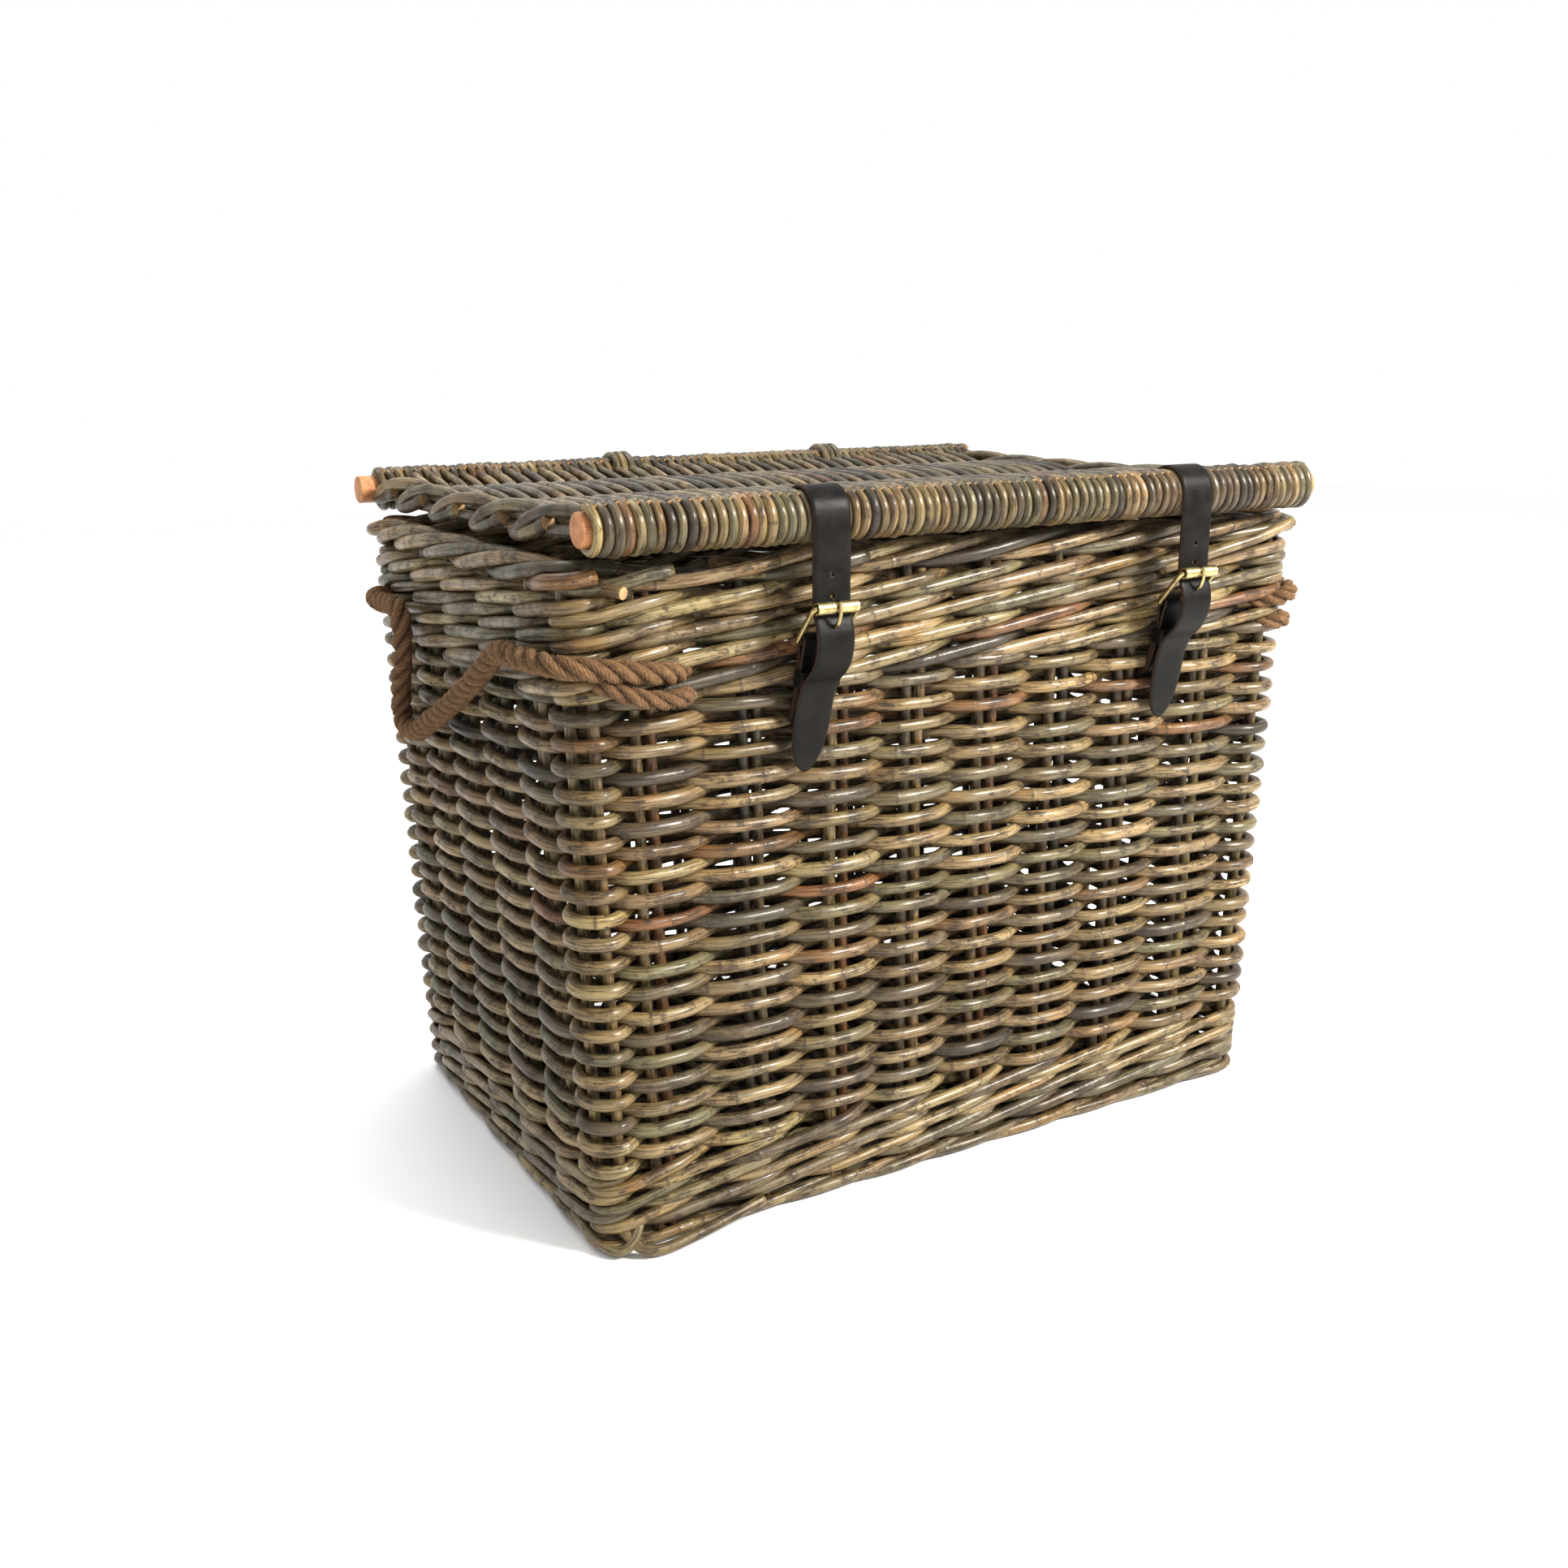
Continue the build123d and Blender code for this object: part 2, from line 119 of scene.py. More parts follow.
def distances(line):
    return np.concatenate([[0.0], np.cumsum(np.linalg.norm(np.diff(line, axis=0), axis=1))])


def resample(line, step):
    along = distances(line)
    count = max(int(round(along[-1] / step)), 3)
    return at(line, along, np.linspace(0, along[-1], count + 1))


def at(line, along, where):
    return np.stack([np.interp(where, along, line[:, k]) for k in range(3)], axis=1)


def soften(line, times=2):
    """Rounds the small kinks of a line and leaves its ends."""
    for _ in range(times):
        line[1:-1] = 0.25 * line[:-2] + 0.5 * line[1:-1] + 0.25 * line[2:]
    return line


# What varnished rattan shows: straw, tan, grey olive, grey brown, dark brown, a rare orange
TINTS = np.array([
    (0.205, 0.158, 0.083),
    (0.158, 0.117, 0.059),
    (0.122, 0.103, 0.059),
    (0.084, 0.066, 0.040),
    (0.046, 0.036, 0.023),
    (0.150, 0.080, 0.035),
])

# How often each of those tints turns up, part by part
SHARES = {
    "weave": (6, 5, 4, 2, 0.6, 0.25),
    "top_wale": (8, 5, 4, 1.2, 0.3, 0.2),
    "bottom_wale": (5, 5, 5, 3, 0.8, 0.2),
    "border": (4, 5, 5, 3, 1, 0.7),
    # the stakes draw darker tints than the weaving rods: painted shade, where they stand behind the rods
    "stakes": (2, 5, 5, 4, 1.5, 1.0),
    "base_sticks": (2, 5, 5, 3, 1, 1),
    "cut_ends": (3, 4, 4, 1, 0, 0),
    "lid": (3, 5, 5, 3.5, 1.4, 0.7),
    "ribs": (2, 5, 5, 3, 1, 0.5),
    "pole": (1.2, 4, 5, 5, 1.8, 0.3),
    "right_plait": (2, 4, 5, 4, 1, 0.2),
    "arches": (2, 4, 6, 4, 0.6, 0),
    "stems": (1, 3, 6, 4, 0.6, 0),
    "knobs": (0, 1, 3, 5, 2, 0),
    "edge": (1, 3, 5, 5, 1, 0),
    "bindings": (6, 4, 2, 0.5, 0, 0.3),
}


def pick_tint(part="weave"):
    share = np.array(SHARES[part], float) / sum(SHARES[part])
    tint = TINTS[rng.choice(len(TINTS), p=share)]
    return tint * rng.uniform(0.85, 1.12) * (1 + rng.uniform(-0.05, 0.05, 3))


def tube_faces(start, rings, sides):
    """The quads of a tube, whose rings of points are numbered on from start."""
    row = (start + sides * np.arange(rings - 1))[:, None]
    turn = np.arange(sides)
    after = (turn + 1) % sides
    quads = np.stack([row + turn, row + after, row + sides + after, row + sides + turn], axis=-1)
    return quads.reshape(-1, 4)


class Rods:
    """Gathers round rods, and then makes one mesh of them."""

    def __init__(self, sides=9):
        self.sides = sides
        self.points, self.tints, self.marks, self.grain, self.rings = [], [], [], [], []

    def add(self, line, radius, tint, knuckle=0.19, oval=1.0):
        """knuckle is how far apart the cane's rings are, and oval flattens the rod sideways."""
        along = distances(line)
        where = along
        knots = []
        if knuckle:
            first = rng.uniform(0.15, 1.0) * knuckle
            knots = np.arange(first, along[-1], knuckle) + rng.uniform(-0.02, 0.02)
            knots = knots[(knots > 0.004) & (knots < along[-1] - 0.004)]
        for knot in knots:
            where = where[np.abs(where - knot) > 0.0024]
            where = np.concatenate([where, knot + np.array([-0.0022, -0.0009, 0.0009, 0.0022])])
        where = np.unique(where)
        line = at(line, along, where)
        mark = np.zeros(len(where))
        for knot in knots:
            mark = np.maximum(mark, np.exp(-((where - knot) / 0.0016) ** 2))
        swell = 1 + 0.06 * np.sin(where * rng.uniform(4, 9) + rng.uniform(0, TURN))
        ring_radius = radius * (swell + 0.085 * mark)
        _, side, across = frames_along(line)
        angle = np.linspace(0, 2 * math.pi, self.sides, endpoint=False)
        circle = np.cos(angle)[None, :, None] * side[:, None, :] * oval
        circle = circle + np.sin(angle)[None, :, None] * across[:, None, :]
        points = line[:, None, :] + circle * ring_radius[:, None, None]
        grain = np.empty(points.shape)
        grain[:, :, 0] = np.cos(angle)[None, :] * radius
        grain[:, :, 1] = np.sin(angle)[None, :] * radius
        grain[:, :, 2] = where[:, None]
        grain += rng.uniform(0, 3, 3)
        shape = (len(where), self.sides)
        fade = 1 + 0.10 * np.sin(where * rng.uniform(6, 16) + rng.uniform(0, TURN))
        tints = np.broadcast_to(tint, shape + (3,)) * fade[:, None, None]
        self.points.append(points.reshape(-1, 3))
        self.grain.append(grain.reshape(-1, 3))
        self.tints.append(tints.reshape(-1, 3))
        self.marks.append(np.repeat(mark, self.sides))
        self.rings.append(len(where))

    def make(self, name, material, end_material, body, slot, nodes=()):
        faces, flat, start = [], [], 0
        n = self.sides
        turn = np.arange(n)
        for rings in self.rings:
            faces.append(tube_faces(start, rings, n))
            last = start + n * (rings - 1)
            flat.append(start + turn[::-1])
            flat.append(last + turn)
            start += n * rings
        quads = np.concatenate(faces)
        caps = np.array(flat)
        mesh = bpy.data.meshes.new(name)
        points = np.concatenate(self.points)
        mesh.vertices.add(len(points))
        mesh.vertices.foreach_set("co", points.astype(np.float32).ravel())
        mesh.loops.add(quads.size + caps.size)
        corners = np.concatenate([quads.ravel(), caps.ravel()])
        mesh.loops.foreach_set("vertex_index", corners.astype(np.int32))
        mesh.polygons.add(len(quads) + len(caps))
        starts = np.concatenate([np.arange(len(quads)) * 4, quads.size + np.arange(len(caps)) * n])
        mesh.polygons.foreach_set("loop_start", starts.astype(np.int32))
        slots = np.concatenate([np.zeros(len(quads)), np.ones(len(caps))])
        mesh.polygons.foreach_set("material_index", slots.astype(np.int32))
        mesh.polygons.foreach_set("use_smooth", slots == 0)
        mesh.update(calc_edges=True)
        mesh.validate()
        write_colour(mesh, "tint", np.concatenate(self.tints), np.concatenate(self.marks))
        write_grain(mesh, self.grain)
        mesh.materials.append(material)
        mesh.materials.append(end_material)
        return put(name, mesh, body, nodes)


def write_colour(mesh, name, colours, alpha):
    rgba = np.concatenate([np.clip(colours, 0, 1), alpha[:, None]], axis=1).astype(np.float32)
    attribute = mesh.attributes.new(name, "FLOAT_COLOR", "POINT")
    attribute.data.foreach_set("color", rgba.ravel())


def write_grain(mesh, parts):
    """Where each point is on its own rod or strand, which the grain of its material follows."""
    attribute = mesh.attributes.new("grain", "FLOAT_VECTOR", "POINT")
    attribute.data.foreach_set("vector", np.concatenate(parts).astype(np.float32).ravel())


def smooth_mesh(name, points, faces, colours, alpha, material):
    mesh = bpy.data.meshes.new(name)
    mesh.from_pydata(points, [], faces)
    mesh.polygons.foreach_set("use_smooth", np.ones(len(faces), bool))
    mesh.update()
    write_colour(mesh, "tint", colours, alpha)
    mesh.materials.append(material)
    return mesh


def put(name, mesh, body, nodes=()):
    """Links a mesh, and says what it rides on and the CAD nodes it stands for."""
    piece = bpy.data.objects.new(name, mesh)
    bpy.context.scene.collection.objects.link(piece)
    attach(piece, body)
    if nodes:
        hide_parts(*nodes)
    return piece


# ------------------------------------------------------------------ materials
class Shader:
    """A Principled material that is built up from a few kinds of node."""

    def __init__(self, name, **sockets):
        self.material = bpy.data.materials.new(name)
        self.material.use_nodes = True
        self.tree = self.material.node_tree
        self.bsdf = self.tree.nodes["Principled BSDF"]
        for key, value in sockets.items():
            self.bsdf.inputs[key.replace("_", " ")].default_value = value

    def node(self, kind, inputs=None, **settings):
        made = self.tree.nodes.new("ShaderNode" + kind)
        for key, value in settings.items():
            setattr(made, key, value)
        for key, value in (inputs or {}).items():
            if isinstance(value, bpy.types.NodeSocket):
                self.tree.links.new(value, made.inputs[key])
            else:
                made.inputs[key].default_value = value
        return made

    def attribute(self, name, output="Vector"):
        return self.node("Attribute", attribute_name=name).outputs[output]

    def object_place(self):
        return self.node("TexCoord").outputs["Object"]

    def stretched(self, vector, scale):
        return self.node("Mapping", {"Vector": vector, "Scale": scale}).outputs["Vector"]

    def noise(self, vector, scale, detail=3.0, rough=0.55):
        inputs = {"Vector": vector, "Scale": scale, "Detail": detail, "Roughness": rough}
        return self.node("TexNoise", inputs).outputs["Fac"]

    def span(self, value, low, high, to_low=0.0, to_high=1.0):
        inputs = {"Value": value, "From Min": low, "From Max": high,
                  "To Min": to_low, "To Max": to_high}
        return self.node("MapRange", inputs, interpolation_type="SMOOTHSTEP").outputs["Result"]

    def math(self, operation, a, b=0.0):
        return self.node("Math", {0: a, 1: b}, operation=operation).outputs[0]

    def mix(self, factor, a, b, blend="MIX"):
        made = self.node("Mix", data_type="RGBA", blend_type=blend)
        for index, value in ((0, factor), (6, a), (7, b)):
            if isinstance(value, bpy.types.NodeSocket):
                self.tree.links.new(value, made.inputs[index])
            elif index == 0:
                made.inputs[index].default_value = value
            else:
                made.inputs[index].default_value = (*value, 1.0)
        return made.outputs[2]

    def link(self, value, socket):
        self.tree.links.new(value, self.bsdf.inputs[socket])

    def bump(self, height, distance, strength=1.0, normal=None):
        inputs = {"Height": height, "Distance": distance, "Strength": strength}
        if normal is not None:
            inputs["Normal"] = normal
        return self.node("Bump", inputs).outputs["Normal"]


def rattan_material(name):
    """Varnished cane: long streaks, dark rings at its joints, black flecks and worn skin."""
    s = Shader(name, Coat_Weight=0.22, Coat_Roughness=0.18, Specular_IOR_Level=0.36)
    tint = s.attribute("tint", "Color")
    ring = s.attribute("tint", "Alpha")
    grain = s.attribute("grain")
    streaks = s.noise(s.stretched(grain, (1.0, 1.0, 0.05)), 620.0, 4.0, 0.68)
    broad = s.noise(s.stretched(grain, (1.0, 1.0, 0.16)), 170.0, 3.0)
    flecks = s.noise(s.stretched(grain, (1.0, 1.0, 0.16)), 520.0, 4.0, 0.75)
    patches = s.noise(grain, 44.0, 4.0, 0.65)
    cloud = s.noise(grain, 15.0, 2.0)
    colour = s.mix(s.span(broad, 0.35, 0.68), tint, (1.34, 1.26, 1.10), "MULTIPLY")
    colour = s.mix(s.span(cloud, 0.58, 0.70, 0.0, 0.50), colour, (1.10, 0.78, 0.50), "MULTIPLY")
    colour = s.mix(s.span(patches, 0.48, 0.66, 0.0, 0.75), colour, (0.56, 0.48, 0.38), "MULTIPLY")
    colour = s.mix(s.span(streaks, 0.48, 0.58, 0.0, 0.85), colour, (0.38, 0.31, 0.23), "MULTIPLY")
    worn = s.math("MULTIPLY", s.span(flecks, 0.51, 0.56), s.span(patches, 0.47, 0.56))
    colour = s.mix(s.math("MULTIPLY", worn, 0.88), colour, (0.030, 0.021, 0.014))
    ring_dark = s.math("MULTIPLY", s.span(ring, 0.30, 0.85), s.span(broad, 0.3, 0.6, 0.15, 0.75))
    colour = s.mix(ring_dark, colour, (0.045, 0.030, 0.019))
    s.link(colour, "Base Color")
    s.link(s.span(patches, 0.35, 0.70, 0.34, 0.58), "Roughness")
    relief = s.bump(streaks, 0.0006, 0.55)
    relief = s.bump(worn, 0.0005, 0.5, relief)
    s.link(relief, "Normal")
    return s.material


def cut_end_material():
    s = Shader("cut_cane_end", Roughness=0.8)
    place = s.object_place()
    pores = s.noise(place, 1600.0, 3.0, 0.7)
    stain = s.noise(place, 130.0, 3.0)
    colour = s.mix(s.span(stain, 0.35, 0.65), (0.50, 0.31, 0.15), (0.30, 0.19, 0.10))
    colour = s.mix(s.span(pores, 0.52, 0.64, 0.0, 0.8), colour, (0.10, 0.06, 0.035))
    s.link(colour, "Base Color")
    s.link(s.bump(pores, 0.0006, 0.8), "Normal")
    return s.material


def pole_material():
    """Bare manau cane: orange brown, with fine open pores on its sawn ends."""
    s = Shader("bare_pole_cane", Roughness=0.55)
    place = s.object_place()
    pores = s.noise(s.stretched(place, (0.2, 1.0, 1.0)), 1100.0, 3.0, 0.7)
    stain = s.noise(place, 95.0, 4.0)
    colour = s.mix(s.span(stain, 0.35, 0.7), (0.52, 0.25, 0.10), (0.36, 0.155, 0.06))
    colour = s.mix(s.span(pores, 0.56, 0.66, 0.0, 0.8), colour, (0.13, 0.055, 0.025))
    s.link(colour, "Base Color")
    s.link(s.bump(pores, 0.0005, 0.8), "Normal")
    return s.material


def leather_material():
    """Black-brown bridle leather: smooth, with pores, faint creases and paler raw edges."""
    s = Shader("strap_leather", Specular_IOR_Level=0.13)
    place = s.object_place()
    pores = s.noise(place, 2400.0, 3.0, 0.6)
    cloud = s.noise(place, 60.0, 4.0)
    creases = s.noise(s.stretched(place, (0.35, 1.0, 1.0)), 420.0, 3.0)
    raw = s.attribute("tint", "Alpha")
    colour = s.mix(s.span(cloud, 0.35, 0.7), (0.0062, 0.0054, 0.0050), (0.0125, 0.0105, 0.0092))
    colour = s.mix(s.span(pores, 0.58, 0.70, 0.0, 0.35), colour, (0.020, 0.016, 0.013))
    colour = s.mix(s.span(raw, 0.3, 0.9, 0.0, 0.8), colour, (0.060, 0.034, 0.022))
    s.link(colour, "Base Color")
    s.link(s.span(cloud, 0.3, 0.7, 0.36, 0.46), "Roughness")
    s.link(s.bump(creases, 0.0004, 0.25, s.bump(pores, 0.0002, 0.35)), "Normal")
    return s.material


def brass_material():
    s = Shader("antique_brass", Metallic=1.0)
    place = s.object_place()
    cloud = s.noise(place, 150.0, 4.0)
    scratches = s.noise(s.stretched(place, (0.12, 1.0, 1.0)), 2600.0, 3.0)
    colour = s.mix(s.span(cloud, 0.35, 0.68), (0.54, 0.45, 0.23), (0.34, 0.27, 0.13))
    s.link(colour, "Base Color")
    s.link(s.span(scratches, 0.35, 0.65, 0.26, 0.42), "Roughness")
    s.link(s.bump(scratches, 0.0001, 0.3), "Normal")
    return s.material


def rope_material():
    """Laid coir: hairy reddish-brown yarns that lean across each strand."""
    s = Shader("coir_rope", Roughness=0.92)
    grain = s.attribute("grain")
    tint = s.attribute("tint", "Color")
    hairs = s.noise(s.stretched(grain, (1.0, 0.16, 1.0)), 2100.0, 4.0, 0.7)
    clumps = s.noise(grain, 260.0, 3.0)
    colour = s.mix(s.span(hairs, 0.38, 0.66), tint, (0.42, 0.36, 0.30), "MULTIPLY")
    colour = s.mix(s.span(hairs, 0.55, 0.68, 0.0, 0.7), colour, (0.50, 0.31, 0.155))
    colour = s.mix(s.span(clumps, 0.36, 0.62, 0.35, 0.0), colour, (0.07, 0.036, 0.018))
    s.link(colour, "Base Color")
    s.link(s.bump(hairs, 0.0012, 0.9), "Normal")
    return s.material


RATTAN = rattan_material("grey_rattan")
CUT_END = cut_end_material()
POLE = pole_material()
LEATHER = leather_material()
BRASS = brass_material()
COIR = rope_material()


# ------------------------------------------------------- the basket's outline
class Wall:
    """The middle line of the walls, once round from the near left corner, as seen from above.
    It is drawn at MID_Z and grows with height. A place on it is counted in stakes."""

    def __init__(self, corner=0.013):
        self.x = half_x(MID_Z) - WALL / 2
        self.y = half_y(MID_Z) - WALL / 2
        points, angles = [], []
        for k in range(5):
            middle_angle = math.radians(-135 + 90 * k)
            spread = math.radians(45)
            first = middle_angle if k == 0 else middle_angle - spread
            last = middle_angle if k == 4 else middle_angle + spread
            centre = (math.copysign(self.x - corner, math.cos(middle_angle)),
                      math.copysign(self.y - corner, math.sin(middle_angle)))
            for angle in np.linspace(first, last, 9):
                points.append((centre[0] + corner * math.cos(angle), centre[1] + corner * math.sin(angle)))
                angles.append(angle)
        self.points = np.array(points)
        self.angles = np.array(angles)
        self.along = distances(self.points)
        self.length = self.along[-1]
        self.corner_at = [0.0] + [float(self.along[9 * k + 4]) for k in (1, 2, 3)]
        self.stations = self.find_stations()

    def find_stations(self):
        """Where the pairs of stakes and the corners are, along the middle line."""
        first, second, third = self.corner_at[1:]
        front = [first / 2 + x for x in FRONT_STAKES]
        right = [first + (second - first) / 2 + y for y in SIDE_STAKES]
        back = [second + (third - second) / 2 - x for x in FRONT_STAKES[::-1]]
        left = [third + (self.length - third) / 2 - y for y in SIDE_STAKES[::-1]]
        sides = [0.0] + front + [first] + right + [second] + back + [third] + left + [self.length]
        return np.array(sides)

    def spot(self, count):
        """Distance along the wall of a place counted in stakes."""
        whole = len(self.stations) - 1
        lap = np.floor(np.asarray(count) / whole)
        inside = np.asarray(count) - lap * whole
        return np.interp(inside, np.arange(whole + 1), self.stations) + lap * self.length

    def place(self, along, out, z):
        """Points at a distance along the wall, a distance out from its middle and a height."""
        inside = np.mod(along, self.length)
        x = np.interp(inside, self.along, self.points[:, 0])
        y = np.interp(inside, self.along, self.points[:, 1])
        angle = np.interp(inside, self.along, self.angles)
        x = (x + out * np.cos(angle)) * half_x(z) / half_x(MID_Z)
        y = (y + out * np.sin(angle)) * half_y(z) / half_y(MID_Z)
        return np.stack([x, y, np.broadcast_to(z, x.shape)], axis=1)


wall = Wall()
STATIONS = len(wall.stations) - 1
COUNTS = np.arange(-2, 3 * STATIONS)
SIDES = ("front", "right", "back", "left")


def side_of(count):
    along = float(wall.spot(count)) % wall.length
    corners = wall.corner_at + [wall.length]
    return SIDES[max(k for k in range(4) if along >= corners[k] - 1e-9)]


def drift(along, scale, amount):
    """A slow waver along a rod."""
    first, second = rng.uniform(0, TURN, 2)
    wave = np.sin(along / scale * TURN + first) + 0.5 * np.sin(along / scale * 14.1 + second)
    return amount * wave / 1.5


def along_stakes(first, last, step=0.0042):
    """Distances along the wall between two places counted in stakes, and the count at each."""
    start, end = float(wall.spot(first)), float(wall.spot(last))
    along = np.linspace(start, end, max(int((end - start) / step), 4))
    return along, np.interp(along, wall.spot(COUNTS), COUNTS)


def randed_rod(first, last, strand, z):
    """One weaving rod, from stake first to stake last: in front of one, behind the next. The rod
    above it goes in front where this one goes behind."""
    along, count = along_stakes(first, last)
    out = (STAKE + ROD) * np.sin(math.pi / 2 * np.cos(math.pi * (count + strand)))
    out = out + drift(along, 0.33, 0.0006)
    height = z + (strand - 0.5) * COURSE / 2 + drift(along, 0.45, 0.0012)
    return soften(wall.place(along, out, height), 2)


def wale_rod(first, last, strand, z):
    """One rod of a waling: in front of two stakes and behind the third, climbing to the right."""
    along, count = along_stakes(first, last)
    cycle = np.mod((count - strand) / WALE_RODS, 1.0)
    swing = np.clip((1 - np.cos(2 * math.pi * cycle)) / 1.5, 0, 1)
    out = (STAKE + ROD) * (2 * swing * swing * (3 - 2 * swing) - 1)
    climb = np.interp(cycle, [0, 0.15, 0.85, 1], [0, -1, 1, 0])
    height = z + WALE_RISE * climb + drift(along, 0.4, 0.0010)
    return soften(wall.place(along, out, height), 5)


def lay_rods(rods, begin, maker, radius, bundles, part="weave"):
    """Weaves once round the basket in rods that begin and end out of sight, behind a stake. Each
    one passes so many stakes a turn as there are rods."""
    for strand in range(rods):
        count = begin(strand) + rods * int(rng.integers(0, 3))
        end_of_lap = count + STATIONS
        while count < end_of_lap:
            length = rods * int(rng.integers(max(2, 5 // rods), 12 // rods + 1))
            stop = min(count + length, end_of_lap)
            line = maker(count - 0.30, stop + 0.30, strand)
            thick = radius * rng.uniform(0.90, 1.10)
            bundles[side_of((count + stop) / 2)].add(line, thick, pick_tint(part))
            count = stop


def weave_walls():
    bundles = {side: Rods(10) for side in SIDES}
    for row in range(COURSES):
        z = FIRST_COURSE + COURSE * row + rng.uniform(-0.0012, 0.0012)
        lay_rods(2, lambda s: 1 - s, lambda a, b, s: randed_rod(a, b, s, z), ROD, bundles)
    for side, bundle in bundles.items():
        bundle.make(f"woven_rods_{side}", RATTAN, CUT_END, "basket", "rattan", [f"weave_{side}"])


def weave_wales():
    for name, rows, thick in (("top_wale", TOP_WALE, ROD), ("bottom_wale", FOOT_WALE, 0.91 * ROD)):
        bundle = Rods(10)
        bundles = {side: bundle for side in SIDES}
        for row, z in enumerate(rows):
            lay_rods(WALE_RODS, lambda s: s + row, lambda a, b, s: wale_rod(a, b, s + row, z),
                     thick, bundles, name)
        bundle.make(f"{name}_rods", RATTAN, CUT_END, "basket", "rattan", [name])


def roll_border(name, node, z, out_middle, out_swing, up_swing, radius):
    """A rolled border: rods that come from inside, climb over the outside and tuck in again."""
    bundle = Rods(10)
    for strand in range(BORDER_RODS):
        count = float(strand)
        end_of_lap = count + STATIONS
        while count < end_of_lap - 0.01:
            stop = min(count + BORDER_RODS * int(rng.integers(1, 3)), end_of_lap)
            along, passed = along_stakes(count - 0.25, stop + 0.25, 0.0045)
            phase = 2 * math.pi * (passed - strand) / BORDER_RODS
            out = out_middle - out_swing * np.cos(phase) + drift(along, 0.3, 0.0008)
            height = z - up_swing * np.sin(phase) + drift(along, 0.3, 0.0006)
            thick = radius * rng.uniform(0.93, 1.07)
            bundle.add(wall.place(along, out, height), thick, pick_tint("border"))
            count = stop
    bundle.make(name, RATTAN, CUT_END, "basket", "rattan", [node])


def stand_stakes():
    """Stakes in pairs along each side, and a pair at each corner."""
    half = STAKE_GAP / 2
    wall_x, wall_y = half_x(MID_Z) - WALL / 2, half_y(MID_Z) - WALL / 2
    ends = {side: [] for side in ("front", "back", "left", "right", "corner")}
    for sign, side in ((-1, "front"), (1, "back")):
        ends[side] = [(x, sign * wall_y, shift, 0.0) for x in FRONT_STAKES for shift in (-half, half)]
    for sign, side in ((-1, "left"), (1, "right")):
        ends[side] = [(sign * wall_x, y, 0.0, shift) for y in SIDE_STAKES for shift in (-half, half)]
    for sx in (-1, 1):
        for sy in (-1, 1):
            for ax, ay in ((STAKE_GAP, 0.0), (0.0, STAKE_GAP)):
                ends["corner"].append((sx * wall_x, sy * wall_y, -sx * ax, -sy * ay))
    for side, rods in ends.items():
        bundle = Rods(10)
        for x, y, shift_x, shift_y in rods:
            z = np.linspace(0.010, BORDER_Z + 0.008, 110)
            waver_x, waver_y = drift(z, 0.35, 0.0010), drift(z, 0.35, 0.0007)
            px = x * half_x(z) / half_x(MID_Z) + shift_x + waver_x
            py = y * half_y(z) / half_y(MID_Z) + shift_y + waver_y
            line = np.stack([px, py, z], axis=1)
            bundle.add(line, STAKE * rng.uniform(0.95, 1.04), pick_tint("stakes"), knuckle=0.22)
        bundle.make(f"stake_rods_{side}", RATTAN, CUT_END, "basket", "rattan", [f"stakes_{side}"])


def weave_base():
    """Five stout sticks along the base, and thinner rods woven across them."""
    low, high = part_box("base_mat")
    z = (low[2] + high[2]) / 2
    sticks = Rods(12)
    stick_gap = 0.075
    for y in stick_gap * np.arange(-2, 3):
        x = np.linspace(low[0] + 0.004, high[0] - 0.004, 120)
        line = np.stack([x, y + drift(x, 0.5, 0.001), np.full(x.shape, z)], axis=1)
        sticks.add(line, 0.0068, pick_tint("base_sticks"))
    sticks.make("base_stick_rods", RATTAN, CUT_END, "basket", "rattan", ["base_sticks"])
    mat = Rods(8)
    pitch = 0.0101
    count = int((high[0] - low[0] - 0.012) / pitch)
    for k in range(count + 1):
        y = np.linspace(low[1] + 0.002, high[1] - 0.002, 90)
        x = low[0] + 0.006 + pitch * k
        over = 0.0050 if k % 2 else -0.0050
        lift = over * np.sin(math.pi / 2 * np.cos(math.pi * y / stick_gap))
        line = np.stack([x + drift(y, 0.3, 0.0005), y, z + lift], axis=1)
        mat.add(line, 0.0049, pick_tint())
    mat.make("base_mat_rods", RATTAN, CUT_END, "basket", "rattan", ["base_mat"])


# Routes and radii of the cut ends that the weaver left showing: a stub and a long end under the
# rim, and the two rods that fold over each other at the near foot corner
CUT_ENDS = (
    ([(-0.352, -0.212, 0.560), (-0.343, -0.238, 0.557), (-0.3315, -0.2625, 0.5545)], 0.0050),
    ([(0.205, -0.246, 0.532), (0.258, -0.2595, 0.546), (0.305, -0.265, 0.556),
      (0.347, -0.264, 0.568)], 0.0052),
    ([(-0.210, -0.236, 0.018), (-0.262, -0.2425, 0.011), (-0.304, -0.2465, 0.0062),
      (-0.324, -0.2450, 0.0060), (-0.334, -0.2360, 0.0130), (-0.338, -0.2240, 0.0230)], 0.0050),
    ([(-0.358, -0.170, 0.020), (-0.358, -0.205, 0.011), (-0.350, -0.229, 0.0065),
      (-0.339, -0.237, 0.0070), (-0.331, -0.236, 0.0180), (-0.323, -0.228, 0.0270)], 0.0042),
)


def leave_ends():
    bundle = Rods(10)
    for route, radius in CUT_ENDS:
        line = soften(resample(np.array(route), 0.0035), 8)
        bundle.add(line, radius, pick_tint("cut_ends"), knuckle=0)
    bundle.make("cut_rod_ends", RATTAN, CUT_END, "basket", "rattan")


# ------------------------------------------------------------------- the lid
def sag(y):
    """Height of the lid's middle surface, which hangs in an arc between its poles."""
    radius = (POLE_Y ** 2 + LID_SAG ** 2) / (2 * LID_SAG)
    return POLE_Z - LID_SAG + radius - np.sqrt(radius ** 2 - y ** 2)


